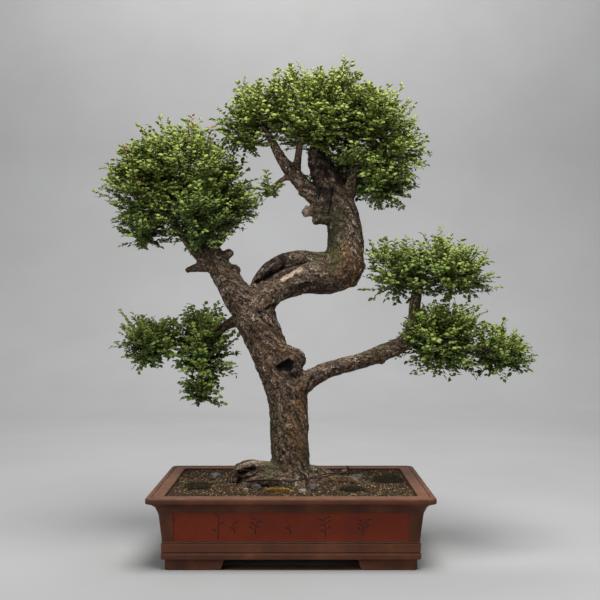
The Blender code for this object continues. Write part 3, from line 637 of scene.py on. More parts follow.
# Stations along each limb in millimetres: right, back, up from the soil, half thickness.
LIMBS = {
    "trunk": [(-2, 0, -70, 40), (-1, 0, -14, 50), (-4, 0, 40, 45), (-6, 0, 130, 44), (-10, 2, 189, 46),
              (-21, 4, 227, 46), (-54, 6, 305, 45), (-85, 0, 376, 48)],
    "left": [(-86, 0, 376, 46), (-111, -4, 406, 37), (-149, -12, 464, 30), (-179, -14, 512, 25),
             (-190, -8, 556, 19), (-204, 2, 610, 14), (-222, 12, 668, 10), (-240, 16, 720, 7)],
    "left_tip": [(-176, -14, 498, 18), (-206, -25, 510, 13), (-236, -44, 545, 10), (-275, -64, 600, 7)],
    "left_inner": [(-184, -10, 530, 16), (-160, 16, 562, 12), (-138, 42, 612, 9), (-126, 62, 664, 7)],
    "left_stub": [(-172, -14, 494, 22), (-202, -18, 488, 14), (-234, -22, 480, 6)],
    "sweep": [(-81, -4, 385, 41), (-58, -10, 415, 31), (-29, -14, 435, 26), (3, -16, 448, 28),
              (37, -16, 460, 36), (73, -14, 466, 42), (105, -12, 478, 45), (120, -10, 503, 44),
              (120, -6, 565, 41), (110, 0, 632, 35)],
    "arch": [(-84, 2, 415, 20), (-73, 6, 456, 18), (-48, 10, 486, 18), (-14, 10, 504, 18),
             (22, 6, 508, 20), (60, 0, 500, 23), (95, -6, 498, 27)],
    "arch_web": [(-66, 8, 430, 20), (-34, 8, 464, 19), (8, 4, 480, 19), (56, -2, 482, 20)],
    "chopped": [(110, 0, 626, 36), (92, 0, 656, 34), (76, 2, 692, 31), (64, 6, 726, 28),
                (58, 10, 748, 22)],
    "crown_left": [(90, 0, 624, 22), (57, -6, 642, 20), (30, -14, 668, 19), (1, -22, 699, 17),
                   (-22, -27, 728, 13), (-44, -28, 769, 9), (-70, -20, 812, 7)],
    "crown_left_up": [(10, -20, 694, 11), (14, -24, 730, 9), (20, -30, 775, 8), (28, -30, 820, 7)],
    "crown_knob": [(66, -6, 650, 18), (44, -12, 656, 17), (28, -15, 660, 13)],
    "crown_stub": [(92, -4, 622, 20), (62, -8, 618, 15), (34, -14, 612, 11)],
    "sweep_stub": [(108, -6, 600, 20), (80, -10, 596, 14), (56, -12, 593, 10)],
    "left_knob": [(-168, -14, 500, 18), (-154, -18, 509, 14), (-142, -22, 517, 10)],
    "sprig_twig": [(6, -20, 694, 9), (-20, -24, 684, 6), (-46, -26, 664, 5)],
    "crown_right": [(120, -4, 630, 20), (131, -8, 655, 15), (138, -12, 684, 13), (156, -17, 716, 11),
                    (190, -20, 752, 9), (232, -14, 788, 7)],
    "crown_back": [(101, 8, 646, 20), (118, 32, 688, 15), (133, 57, 734, 12), (142, 78, 800, 8)],
    "crown_top": [(72, 12, 714, 15), (69, 20, 757, 11), (60, 18, 810, 9), (53, 14, 860, 7)],
    "right": [(0, 0, 217, 32), (35, -8, 230, 24), (86, -20, 257, 19), (153, -32, 275, 18),
              (209, -42, 297, 20), (248, -47, 316, 18), (270, -48, 356, 15), (277, -40, 412, 13),
              (290, -30, 460, 10), (314, -22, 500, 7)],
    "right_low": [(238, -46, 308, 14), (285, -55, 318, 11), (345, -58, 319, 9), (405, -54, 308, 8),
                  (462, -48, 292, 7)],
    "low_left": [(-95, 6, 378, 22), (-140, 24, 360, 13), (-178, 36, 338, 10), (-235, 50, 320, 8),
                 (-300, 54, 318, 7), (-352, 54, 306, 6.5)],
    "low_left_drop": [(-182, 38, 334, 10), (-199, 36, 297, 8), (-206, 30, 255, 7)],
    "root_left": [(-15, -8, 4, 34), (-62, -18, 26, 24), (-102, -14, 34, 19), (-126, -10, 12, 14),
                  (-140, -8, -35, 8)],
    "root_front_left": [(-16, -24, 6, 28), (-58, -48, 12, 16), (-100, -58, 2, 12), (-124, -66, -32, 8)],
    "root_front": [(6, -26, -4, 26), (20, -60, -8, 16), (30, -82, -34, 9)],
    "root_right": [(22, 10, 10, 32), (50, 16, 17, 19), (86, 28, 10, 12), (120, 40, -6, 9),
                   (142, 48, -32, 7)],
    "root_right_front": [(40, -6, -6, 24), (100, 2, 3, 11), (150, -22, 3, 10), (188, -50, -26, 8)],
    "root_back_left": [(-10, 26, 2, 28), (-42, 78, 0, 16), (-72, 116, -32, 8)],
    "root_back_right": [(14, 26, 2, 26), (46, 84, -4, 14), (66, 116, -34, 8)],
}

# Swellings on the wood in millimetres: right, back, up, and the three half widths.
BURLS = {
    "hollow_burl": (-4, -10, 270, 34, 32, 40),
    "left_burl": (-133, -8, 478, 18, 18, 17),
    "elbow": (122, -12, 486, 42, 40, 44),
    "right_joint": (20, -6, 224, 34, 30, 28),
    "right_knob": (196, -42, 282, 16, 15, 14),
    "root_block": (-100, -14, 30, 30, 24, 22),
}
HOLLOW = (-15, -46, 264, 17, 26, 12)

WOOD_GRAIN = 2.8 * MM

# Seams where limbs have grown together, pushed in and painted near black as painted shade: two ends as
# right and up, then width and depth.
SEAMS = [((-80, 452), (-24, 482), 7, 11), ((-24, 482), (34, 498), 3.5, 5), ((60, 640), (76, 700), 3.5, 5),
         ((84, 604), (92, 660), 4, 6), ((-142, 472), (-122, 500), 3.5, 5), ((-118, 24), (-84, 34), 7, 9),
         ((-72, 384), (-40, 402), 4, 5), ((30, 206), (44, 236), 4, 5)]

# A strip where the bark is gone, drawn in the same way.
STRIPPED = ((-25, 457), (20, 482), 6)

# Patches on the bark in millimetres: a place as right, back and up, the half widths, and how
# strong the patch is.
MOSSY = [((84, -30, 500), (48, 50, 50), 2), ((-50, -30, 90), (46, 60, 110), 1.8),
         ((84, -24, 578), (46, 60, 84), 2.2), ((40, -30, 60), (50, 60, 70), 0.8)]
MOSSY_ABOVE = ((230, -40, 330), (110, 60, 90), 2)
OCHRE = [((20, -44, 150), (44, 40, 120), 1.6), ((128, -40, 486), (62, 60, 66), 2.4),
         ((-28, -40, 330), (56, 60, 74), 1.5), ((96, -10, -2), (80, 60, 30), 1.4)]
# Painted shade: a dark ring round the burl's hole, and dark patches where limbs are in shade.
HOLLOW_SHADE = ((0, -36, 262), (42, 46, 44), 1.5)
SHADED = [((74, -20, 700), (52, 60, 84), 0.9), ((-45, 0, 492), (70, 60, 44), 0.8),
          ((34, -24, 436), (76, 60, 30), 0.55), ((92, -30, 600), (54, 60, 86), 0.45)]
WORN_STUB = ((30, -14, 613), (16, 22, 16))
WARP_SHIFTS = (Vector((0, 0, 0)), Vector((5, 0, 0)), Vector((0, 5, 0)))

# How high the bark's ridges, flakes and fine grain stand and how deep its cracks are, in
# millimetres, the half thickness in metres of a limb from which they are at full height, and
# how wide a crack is as a share of a flake.
RIDGE_HEIGHT = 3.0
FLAKE_HEIGHT = 1.6
CRACK_DEPTH = 1.7
FINE_HEIGHT = 0.9
THICK_LIMB = 0.036
CRACK_WIDTH = 0.22


def grown_at(right, back, up):
    """A drawn place on the tree, in metres."""
    return TREE_BASE + Vector((right, back, up)) * MM


def smooth_route(points, steps):
    """Points along a smooth line through the given ones, steps to each stretch."""
    rows = [Vector(point) for point in points]
    rows = [rows[0] * 2 - rows[1]] + rows + [rows[-1] * 2 - rows[-2]]
    route = []
    for index in range(1, len(rows) - 2):
        a, b, c, d = rows[index - 1:index + 3]
        for step in range(steps):
            t = step / steps
            route.append(0.5 * (2 * b + (c - a) * t + (2 * a - 5 * b + 4 * c - d) * t * t
                                + (3 * b - a - 3 * c + d) * t * t * t))
    route.append(rows[-2])
    return route


def sweep_round(shape, places, radii, sides):
    """Add a closed tube along places, its rings carried forward without twist."""
    heading = (places[1] - places[0]).normalized()
    side = heading.orthogonal().normalized()
    rows = []
    for index, (place, radius) in enumerate(zip(places, radii)):
        turned = heading_at(places, index)
        side.rotate(heading.rotation_difference(turned))
        heading = turned
        other = heading.cross(side)
        turns = [math.tau * step / sides for step in range(sides)]
        rows.append([shape.verts.new(place + (side * math.cos(turn) + other * math.sin(turn)) * radius)
                     for turn in turns])
    close_over(shape, rows, (reversed(rows[0]), rows[-1]))


def uneven_ball(shape, centre, half_widths, detail, roughness):
    ball = bmesh.ops.create_icosphere(shape, subdivisions=detail, radius=1.0)
    for vert in ball["verts"]:
        bump = 1.0 + roughness * noise.noise(vert.co * 1.7 + Vector(centre) * 9.0)
        vert.co = centre + Vector([vert.co[axis] * half_widths[axis] * bump for axis in range(3)])


def limb_lines():
    """Every limb as places and half thicknesses in metres."""
    for name, stations in LIMBS.items():
        rows = smooth_route([Vector(station) for station in stations], 8)
        yield name, [grown_at(*row[:3]) for row in rows], [row[3] * MM for row in rows]


limbs = {name: (places, radii) for name, places, radii in limb_lines()}


def knitted_wood():
    """The limbs and burls grown into one skin, a little smoothed."""
    shape = bmesh.new()
    for places, radii in limbs.values():
        sweep_round(shape, places, radii, 20)
        if radii[-1] < 30 * MM:
            uneven_ball(shape, places[-1], [radii[-1] * 1.12] * 3, 3, 0.5)
    for right, back, up, *half in BURLS.values():
        uneven_ball(shape, grown_at(right, back, up), [value * MM for value in half], 4, 0.25)
    rough = link("rough_wood", mesh_of("rough_wood", shape))
    knit = rough.modifiers.new("knit", "REMESH")
    knit.mode = "VOXEL"
    knit.voxel_size = WOOD_GRAIN
    ease = rough.modifiers.new("ease", "SMOOTH")
    ease.factor = 0.5
    ease.iterations = 3
    return plain(rough)


def line_table():
    """Centre, half thickness, heading and way along for every point of every limb."""
    centres, radii, headings, ways = [], [], [], []
    for order, (places, widths) in enumerate(limbs.values()):
        way = order * 0.7
        for index, place in enumerate(places):
            centres.append(place)
            radii.append(widths[index])
            headings.append(heading_at(places, index))
            ways.append(way)
            way += (places[min(index + 1, len(places) - 1)] - place).length
    return [np.array(values, dtype=float) for values in (centres, radii, headings, ways)]


def along_limbs(points):
    """For every point: its pattern place, drawn out along the nearest limb, and that limb's thickness."""
    centres, radii, headings, ways = line_table()
    nearest = np.zeros(len(points), dtype=int)
    for start in range(0, len(points), 4000):
        part = points[start:start + 4000]
        gaps = np.linalg.norm(part[:, None, :] - centres[None, :, :], axis=2) - radii[None, :]
        nearest[start:start + 4000] = gaps.argmin(axis=1)
    offset = points - centres[nearest]
    ahead = (offset * headings[nearest]).sum(axis=1)
    across = offset - headings[nearest] * ahead[:, None]
    pattern = across + np.outer(ways[nearest] + ahead, (0.34, 0.38, 0.31))
    return pattern, radii[nearest]


def near(points, place, half):
    """1 at a drawn place, falling to 0 over its half widths."""
    scaled = (points - np.array(grown_at(*place))) / (np.array(half) * MM)
    return np.clip(1 - np.linalg.norm(scaled, axis=1), 0, 1)


def stained(points, place, half, strength):
    """1 well inside a patch, falling to 0 at its edge."""
    return np.clip(near(points, place, half) * strength, 0, 1)


def noise_at(points, pitch):
    return np.array([noise.noise(Vector(place) * pitch) for place in points])


def by_line(points, start, end, width, jag):
    """1 on a drawn line as seen from the front, falling to 0 at its ragged edges; right and up only."""
    a = np.array(grown_at(start[0], 0, start[1]))[[0, 2]]
    b = np.array(grown_at(end[0], 0, end[1]))[[0, 2]]
    flat = points[:, [0, 2]]
    share = np.clip(((flat - a) @ (b - a)) / ((b - a) @ (b - a)), 0, 1)
    gap = np.linalg.norm(flat - a - share[:, None] * (b - a), axis=1)
    edge = width * MM * (1 + jag)
    return np.clip(1 - gap / edge, 0, 1)


def sunk(points, normals, jag):
    """Push the front of the skin in at the burl's hole and along the seams between limbs, and give the
    painted shade that darkens them.
    """
    right, back, up, wide, deep, tall = HOLLOW
    scaled = (points - np.array(grown_at(right, back, up))) / (np.array((wide, deep, tall)) * 1.12 * MM)
    reach = 1 - scaled[:, 0] ** 2 - scaled[:, 2] ** 2 + jag * 1.5
    inside = (reach > 0) & (scaled[:, 1] > -1.4) & (scaled[:, 1] < np.sqrt(np.clip(reach, 0, 1)))
    moved = points.copy()
    moved[inside, 1] = (TREE_BASE.y + back * MM) + deep * 0.8 * MM * np.sqrt(np.clip(reach[inside], 0, 1))
    # Painted shade: near black inside the burl's hole and along the seams.
    dark = np.where(inside, np.clip(reach * 4, 0, 1), 0.0)
    front = np.clip(-normals[:, 1] * 3, 0, 1)
    for start, end, width, depth in SEAMS:
        here = by_line(points, start, end, width, jag) * front
        moved[:, 1] += depth * MM * here ** 0.7
        dark = np.maximum(dark, np.clip(here * 1.9 - 0.25, 0, 1))
    return moved, dark


def barked(mesh):
    """Raise flakes and ridges on the skin and note where it is cracked, bare or mossy, and where painted
    shade darkens it.
    """
    count = len(mesh.vertices)
    flat = np.zeros(count * 3)
    mesh.vertices.foreach_get("co", flat)
    points = flat.reshape(-1, 3)
    mesh.vertex_normals.foreach_get("vector", flat := np.zeros(count * 3))
    normals = flat.reshape(-1, 3)
    pattern, thickness = along_limbs(points)
    crack, flake = np.zeros(count), np.zeros(count)
    for index in range(count):
        place = Vector(pattern[index])
        warp = Vector([noise.noise(place * 60 + shift) for shift in WARP_SHIFTS])
        gaps, cells = noise.voronoi(place * 105 + warp * 0.55)
        crack[index] = gaps[1] - gaps[0]
        flake[index] = noise.cell(cells[0] * 7.3)
    ridge = noise_at(pattern, 34)
    fine = noise_at(points, 320)
    blotch = noise_at(points, 26)
    jag = noise_at(points, 85)
    thick = np.clip(thickness / THICK_LIMB, 0.16, 1.0)
    open_crack = 1 - np.clip(crack / CRACK_WIDTH, 0, 1)
    height = (ridge * RIDGE_HEIGHT + (flake - 0.5) * FLAKE_HEIGHT - open_crack * CRACK_DEPTH
              + fine * FINE_HEIGHT) * thick * MM
    bare = np.clip(by_line(points, *STRIPPED, jag * 1.3) * 2.4, 0, 1) * np.clip(-normals[:, 1] * 3, 0, 1)
    bare = np.maximum(bare, np.clip(near(points, *WORN_STUB) * 2, 0, 0.4))
    points, dark = sunk(points + normals * (height * (1 - 0.7 * bare))[:, None], normals, jag)
    mesh.vertices.foreach_set("co", points.astype(np.float32).ravel())
    up_facing = np.clip(normals[:, 2], 0, 1)
    moss = sum(stained(points, *patch) for patch in MOSSY)
    moss = moss + stained(points, *MOSSY_ABOVE) * (0.3 + 0.7 * up_facing) + 0.25 * up_facing
    moss = np.clip(moss * np.clip(0.55 + blotch * 1.5, 0, 1), 0, 1)
    ochre = sum(stained(points, *patch) for patch in OCHRE) + 0.25
    ochre = np.clip(ochre * np.clip(0.6 + blotch * 1.2, 0, 1), 0, 1)
    # Painted shade round the burl's hole and over the shaded patches.
    dark = np.maximum(dark, stained(points, *HOLLOW_SHADE) * np.clip(0.45 + jag * 1.5, 0, 0.75))
    for place, half, most in SHADED:
        shade = stained(points, place, half, 2.2) * np.clip(most * 0.8 + jag * 1.2, 0, most)
        dark = np.maximum(dark, shade)
    for name, values in (("crack", open_crack), ("flake", flake), ("bare", bare), ("moss", moss),
                         ("ochre", ochre), ("painted_shade", dark)):
        layer = mesh.attributes.new(name, "FLOAT", "POINT")
        layer.data.foreach_set("value", values.astype(np.float32))
    layer = mesh.attributes.new("grain_place", "FLOAT_VECTOR", "POINT")
    layer.data.foreach_set("vector", pattern.astype(np.float32).ravel())
    return mesh


def elm_bark():
    """Flaking elm bark: grey-tan plates, green where damp, cream where stripped; painted shade makes the
    cracks, the burl's hole, the seams and the shaded patches near black.
    """
    surface, tree, shader, where = new_material("flaking_elm_bark", Roughness=0.9,
                                                Specular_IOR_Level=0.25)
    run = noted(tree, "grain_place", "Vector")
    plates = grain(tree, run, 9 * MM, 5.0, 0.65)
    flecks = grain(tree, where, 4.5 * MM, 5.0, 0.75)
    streaks = grain(tree, run, 2.6 * MM, 3.0, 0.6)
    base = ramp(tree, plates, [(0.34, "#19110c"), (0.46, "#3a281e"), (0.56, "#5d4637"), (0.68, "#8c7b69")])
    pale = combine(tree, "MULTIPLY", spread(tree, noted(tree, "flake"), 0.35, 0.9, 0.25, 1.0),
                   spread(tree, flecks, 0.5, 0.57))
    base = blend(tree, pale, base, linear("#bcb09c"))
    base = blend(tree, spread(tree, flecks, 0.46, 0.38, 0.0, 0.8), base, linear("#170f0a"))
    base = blend(tree, spread(tree, streaks, 0.46, 0.34, 0.0, 0.5), base, linear("#1f1610"))
    rust = blend(tree, spread(tree, flecks, 0.3, 0.7), linear("#4e3517"), linear("#86602c"))
    rusty = combine(tree, "MULTIPLY", noted(tree, "ochre"), spread(tree, plates, 0.35, 0.65, 0.1, 0.7))
    base = blend(tree, rusty, base, rust)
    lichen = blend(tree, spread(tree, flecks, 0.35, 0.65), linear("#262a15"), linear("#50582e"))
    mossy = combine(tree, "MULTIPLY", noted(tree, "moss"), spread(tree, flecks, 0.36, 0.6, 0.15, 0.9))
    base = blend(tree, mossy, base, lichen)
    stripped = ramp(tree, streaks, [(0.3, "#7a6554"), (0.5, "#b29c88"), (0.7, "#d0bfab")])
    base = blend(tree, noted(tree, "bare"), base, stripped)
    # Painted shade in the open cracks: near black where the skin is pushed in.
    base = blend(tree, spread(tree, noted(tree, "crack"), 0.25, 1.0, 0.0, 0.75), base, linear("#150f0a"))
    # Painted shade: near black in the burl's hole, along the seams and over the shaded patches.
    base = blend(tree, noted(tree, "painted_shade"), base, linear("#0a0705"))
    tree.links.new(base, shader.inputs["Base Color"])
    relief(tree, shader, combine(tree, "ADD", plates, flecks), 1.6 * MM, 0.8)
    return surface


bark = elm_bark()
wood_mesh = barked(knitted_wood())
wood_mesh.materials.append(bark)
finish_piece("elm_wood", wood_mesh, "bark", ["tree_wood"])


STRAND_RADIUS = 1.3 * MM

# The strand's stations in millimetres: right, back and up; the wood's skin settles how far back.
STRAND = [(-104, 0, 12), (-60, 0, 16), (-4, 0, 12), (42, 0, 15), (82, 0, 19), (116, 0, 14)]


def front_strand():
    """Places of a wire pulled tight across the front of the trunk's foot, from root to root."""
    skin = bmesh.new()
    skin.from_mesh(wood_mesh)
    solid = BVHTree.FromBMesh(skin)
    skin.free()
    places = []
    for right, _, up in smooth_route(STRAND, 7):
        start = grown_at(right, -170, up)
        hit = solid.ray_cast(start, Vector((0, 1, 0)))[0]
        depth = hit.y - STRAND_RADIUS if hit else grown_at(0, 20, 0).y
        places.append(Vector((start.x, depth, start.z)))
    taut = []
    for index, place in enumerate(places):
        nearest = place.y
        for before in places[:index]:
            for after in places[index + 1:]:
                share = (place.x - before.x) / (after.x - before.x)
                nearest = min(nearest, before.y + (after.y - before.y) * share)
        taut.append(Vector((place.x, nearest, place.z)))
    return taut


strand = bmesh.new()
strand_line = front_strand()
sweep_round(strand, strand_line, [STRAND_RADIUS] * len(strand_line), 8)
strand_mesh = mesh_of("tie_strand", strand)
strand_mesh.materials.append(copper_wire)
finish_piece("tie_strand", strand_mesh, "tie_wire")

# ------------------------------------------------------------------ leaves and twigs
# Small-leaved elm in pinched pads: each limb feeds a net of twigs, and every twig ends in
# a soft sprig with leaves set alternately along it. Leaves on top and at a pad's skin are
# painted lighter, as young growth and as painted light; leaves deep inside are darker as
# painted shade.

# Lobes of each pad in millimetres: right, back, up, and the three half widths.
PADS = {
    "leaves_crown_top": [(14, 0, 860, 106, 98, 84), (98, 10, 864, 98, 100, 80),
                         (60, -60, 806, 86, 64, 50), (70, 84, 800, 96, 78, 64),
                         (36, -34, 784, 84, 66, 46)],
    "leaves_crown_left": [(-114, -6, 814, 60, 76, 52), (-70, 0, 852, 70, 92, 64),
                          (-98, -12, 774, 60, 72, 38)],
    "leaves_crown_right": [(206, -10, 802, 80, 94, 88), (246, 0, 746, 70, 86, 84),
                           (176, -4, 838, 74, 90, 60)],
    "leaves_crown_low_right": [(192, -14, 684, 66, 76, 62), (226, -6, 666, 56, 64, 50),
                               (150, -44, 728, 60, 48, 42)],
    "leaves_crown_back": [(96, 150, 726, 98, 68, 60), (176, 122, 716, 64, 60, 58)],
    "leaves_left_top": [(-254, 0, 722, 138, 124, 96), (-178, 28, 668, 88, 100, 70),
                        (-322, -4, 718, 90, 92, 72), (-140, 0, 664, 66, 80, 70)],
    "leaves_left_outer": [(-334, -10, 654, 104, 106, 90)],
    "leaves_left_hanging": [(-332, -24, 572, 72, 74, 50)],
    "leaves_left_low": [(-232, -64, 608, 98, 74, 66), (-146, -40, 624, 82, 68, 60),
                        (-204, -66, 558, 72, 52, 44)],
    "leaves_left_back": [(-196, 108, 620, 92, 64, 60)],
    "leaves_low_left_tip": [(-352, 50, 316, 66, 74, 62), (-296, 50, 320, 68, 86, 60)],
    "leaves_low_left": [(-212, 40, 340, 80, 94, 66), (-200, 36, 280, 74, 84, 66)],
    "leaves_low_left_drop": [(-208, 28, 212, 56, 58, 50)],
    "leaves_right_inner": [(236, -30, 478, 76, 90, 76)],
    "leaves_right_outer": [(330, -26, 484, 92, 98, 76), (404, -30, 470, 58, 70, 60)],
    "leaves_right_low": [(296, -50, 318, 62, 82, 68), (366, -50, 312, 76, 90, 74),
                         (342, -52, 376, 82, 70, 34), (284, -76, 340, 46, 40, 50)],
    "leaves_right_tip": [(450, -48, 300, 64, 70, 60), (496, -46, 284, 46, 50, 44)],
    "leaves_sprig": [(-48, -26, 664, 38, 32, 34)],
}

# How many sprigs a pad carries for each 100 square centimetres of its side view, how far a
# sparse pad falls short of that, and how much lighter or darker than the rest a pad's leaves
# are painted, as painted light and shade.
SPRIGS_PER_PATCH = 100
SPARSE_PADS = {"leaves_sprig": 0.42, "leaves_crown_low_right": 0.85, "leaves_left_hanging": 0.9}
LIGHT_LEVEL = {"leaves_crown_top": 0.21, "leaves_crown_left": 0.20, "leaves_crown_right": 0.16,
               "leaves_crown_low_right": 0.0, "leaves_crown_back": -0.08, "leaves_left_top": 0.10,
               "leaves_left_outer": 0.04, "leaves_left_hanging": -0.1, "leaves_left_low": -0.06,
               "leaves_left_back": -0.08, "leaves_low_left_tip": -0.04, "leaves_low_left": -0.05,
               "leaves_low_left_drop": -0.08, "leaves_right_inner": -0.02, "leaves_right_outer": 0.02,
               "leaves_right_low": -0.02, "leaves_right_tip": 0.0, "leaves_sprig": -0.02}
TWIG_TIP = 0.55 * MM
TWIG_FOOT = 2.8 * MM

# In millimetres: how long a sprig is, how far apart the joints of a twig are, how far a twig
# may bow, and how far a long shoot stands out of the pad.
SPRIG_LENGTH = (26, 44)
TWIG_STEP = 20
TWIG_BOW = 12
LONG_SHOOT = (8, 20)
LONG_SHOOT_SHARE = 0.10
SPRIG_STEPS = 4

# Gaps pruned open between the crown's limbs: right, up and the two half widths.
SKY_GAPS = [(-3, 750, 18, 24), (32, 744, 24, 30), (118, 672, 14, 24)]


def leaf_blade():
    """One small elm leaf, pointed and a little folded: a closed lens lying along Y."""
    outline = [(0.0, 0.0), (0.29, 0.26), (0.27, 0.64), (0.0, 1.0), (-0.27, 0.64), (-0.29, 0.26)]
    shape = bmesh.new()
    rim = [shape.verts.new((x, y, 0.22 * abs(x) + 0.10 * math.sin(y * 3.0) - 0.03)) for x, y in outline]
    for lift in (0.014, -0.022):
        mids = [shape.verts.new((0.0, y, 0.10 * math.sin(y * 3.0) - 0.05 + lift)) for y in (0.26, 0.64)]
        for edge in ((0, 1, 2, 3), (0, 5, 4, 3)):
            a, b, c, d = (rim[index] for index in edge)
            for face in ((a, b, mids[0]), (b, c, mids[1], mids[0]), (c, d, mids[1])):
                shape.faces.new(face)
    bmesh.ops.triangulate(shape, faces=shape.faces)
    item = link("leaf_blade", mesh_of("leaf_blade", shape))
    item.data.shade_smooth()
    item.hide_render = True
    return item


def elm_leaf():
    """Small elm leaves: thin and slightly waxy, yellow-green where young and where painted light falls,
    darker blue-green as painted shade.
    """
    surface, tree, shader, where = new_material("elm_leaf_cuticle", Roughness=0.58, Specular_IOR_Level=0.3)
    cloud = grain(tree, where, 45 * MM, 3.0)
    fleck = grain(tree, where, 5 * MM, 3.0)
    shift = combine(tree, "ADD", noted(tree, "leaf_tint"), spread(tree, cloud, 0.3, 0.7, -0.1, 0.1))
    base = ramp(tree, shift, [(0.0, "#3e4d30"), (0.22, "#526636"), (0.45, "#6c803b"), (0.68, "#80903d"),
                              (0.88, "#87943f"), (1.0, "#929c46")])
    base = blend(tree, spread(tree, fleck, 0.35, 0.65, 0.0, 0.25), base, linear("#43552a"))
    base = blend(tree, noted(tree, "leaf_blush"), base, linear("#9a5a2c"))
    tree.links.new(base, shader.inputs["Base Color"])
    relief(tree, shader, fleck, 0.3 * MM, 0.5)
    return surface


def young_twig():
    """Second-year elm twigs: thin brown bark with pale pores."""
    surface, tree, shader, where = new_material("young_elm_twig", Roughness=0.8)
    pores = grain(tree, where, 1.6 * MM, 3.0)
    tree.links.new(ramp(tree, pores, [(0.35, "#2a1f16"), (0.55, "#4d3b2a"), (0.75, "#7c6a52")]),
                   shader.inputs["Base Color"])
    relief(tree, shader, pores, 0.2 * MM, 0.5)
    return surface


def foliage_tree(blade, leaf_surface, twig_surface):
    """Twig lines to tapered twigs, with leaves set alternately along their leafy ends."""
    tree, given, result = geometry_tree("sprigs", ("Leaf Length", "Float", 0.0126),
                                        ("Leaf Gap", "Float", 0.0046), ("Seed", "Int", 1))

    def carried(name, kind="FLOAT"):
        return put(tree, "GeometryNodeInputNamedAttribute", {"Name": name}, data_type=kind)

    def vector_math(operation, *inputs):
        return put(tree, "ShaderNodeVectorMath", dict(enumerate(inputs)), operation=operation)

    lines = put(tree, "GeometryNodeMeshToCurve", {0: given["Shape"]})
    round_line = put(tree, "GeometryNodeCurvePrimitiveCircle", {"Resolution": 4, "Radius": 1.0})
    girth = put(tree, "GeometryNodeSetCurveRadius", {"Curve": lines, "Radius": carried("girth")})
    sweep = add(tree, "GeometryNodeCurveToMesh",
                {"Curve": girth, "Profile Curve": round_line, "Fill Caps": True})
    if "Scale" in sweep.inputs:
        tree.links.new(carried("girth"), sweep.inputs["Scale"])
    twigs = put(tree, "GeometryNodeSetMaterial",
                {"Geometry": sweep.outputs[0], "Material": twig_surface})

    bare = combine(tree, "LESS_THAN", carried("leafy"), 0.5)
    leafy = put(tree, "GeometryNodeDeleteGeometry", {"Geometry": lines, "Selection": bare}, domain="POINT")
    even = put(tree, "GeometryNodeResampleCurve", {"Curve": leafy, "Length": given["Leaf Gap"]},
               mode="LENGTH")
    kept = note(tree, even, "run", put(tree, "GeometryNodeInputTangent"), "FLOAT_VECTOR", "POINT")
    parity = combine(tree, "MODULO", put(tree, "GeometryNodeInputIndex"), 2.0)
    hand = spread(tree, parity, 0.0, 1.0, -1.0, 1.0)
    points = put(tree, "GeometryNodeCurveToPoints", {"Curve": kept}, mode="EVALUATED")
    run = carried("run", "FLOAT_VECTOR")
    lift = carried("lift", "FLOAT_VECTOR")
    level = vector_math("NORMALIZE", vector_math("CROSS_PRODUCT", run, lift))
    out = vector_math("ADD", stretched(tree, run, 0.62), stretched(tree, level, hand))
    stray = random_value(tree, (-0.5, -0.5, -0.45), (0.5, 0.5, 0.35), 21, "FLOAT_VECTOR")
    sway = random_value(tree, (-1.0, -1.0, -0.5), (1.0, 1.0, 0.4), 22, "FLOAT_VECTOR")
    aim = put(tree, "FunctionNodeAlignRotationToVector", {"Vector": vector_math("ADD", out, stray)},
              axis="Y")
    aim = put(tree, "FunctionNodeAlignRotationToVector",
              {"Rotation": aim, "Vector": vector_math("ADD", lift, sway)}, axis="Z", pivot_axis="Y")
    size = combine(tree, "MULTIPLY", given["Leaf Length"], random_value(tree, 0.62, 1.22, 23))
    blade_shape = add(tree, "GeometryNodeObjectInfo", {"Object": blade}).outputs["Geometry"]
    leaves = put(tree, "GeometryNodeInstanceOnPoints",
                 {"Points": points, "Instance": blade_shape, "Rotation": aim, "Scale": size})
    # Each leaf's tint carries its sprig's painted light and shade, with a random spread.
    tint = combine(tree, "ADD", carried("light"), random_value(tree, -0.17, 0.17, 24))
    leaves = note(tree, leaves, "leaf_tint", tint)
    leaves = note(tree, leaves, "leaf_blush", carried("blush"))
    real = painted(tree, leaves, leaf_surface)
    both = tree.nodes.new("GeometryNodeJoinGeometry")
    tree.links.new(twigs, both.inputs[0])
    tree.links.new(real, both.inputs[0])
    tree.links.new(both.outputs[0], result)
    return tree


def in_lobe(point, lobe):
    """How deep a drawn place lies in a lobe: under 1 inside, 1 at its skin."""
    return math.sqrt(sum(((point[axis] - lobe[axis]) / lobe[axis + 3]) ** 2 for axis in range(3)))


def in_sky_gap(point):
    return any(((point.x - right) / wide) ** 2 + ((point.z - up) / tall) ** 2 < 1
               for right, up, wide, tall in SKY_GAPS)


def sprig_places(name, lobes, pick):
    """Places for sprig tips, mostly near the pad's skin and more on top than below."""
    patch = sum(math.pi * lobe[3] * lobe[5] for lobe in lobes) / 10000
    wanted = int(patch * SPRIGS_PER_PATCH * SPARSE_PADS.get(name, 1.0))
    weights = [lobe[3] * lobe[4] * lobe[5] for lobe in lobes]
    places = []
    while len(places) < wanted:
        lobe = pick.choices(lobes, weights)[0]
        heading = Vector((pick.gauss(0, 1), pick.gauss(0, 1), pick.gauss(0.25, 1))).normalized()
        depth = pick.random() ** 0.36
        lump = 1.03 + 0.2 * noise.noise(heading * 2.1 + Vector(lobe[:3]) * 0.05)
        point = Vector([lobe[axis] + heading[axis] * depth * lump * lobe[axis + 3] for axis in range(3)])
        inner = min(in_lobe(point, other) for other in lobes)
        if inner < 0.5 and pick.random() < 0.6:
            continue
        if noise.noise(point * 0.024) < -0.30 or in_sky_gap(point):
            continue
        places.append((point, inner, heading))
    return places


def limb_points():
    """Places on the outer limbs in millimetres, where twigs may start."""
    found = []
    for name, (places, radii) in limbs.items():
        if not name.startswith(("root", "trunk")):
            found += [(place - TREE_BASE) / MM for place, radius in zip(places, radii)
                      if radius < 26 * MM]
    return found


twig_starts = limb_points()


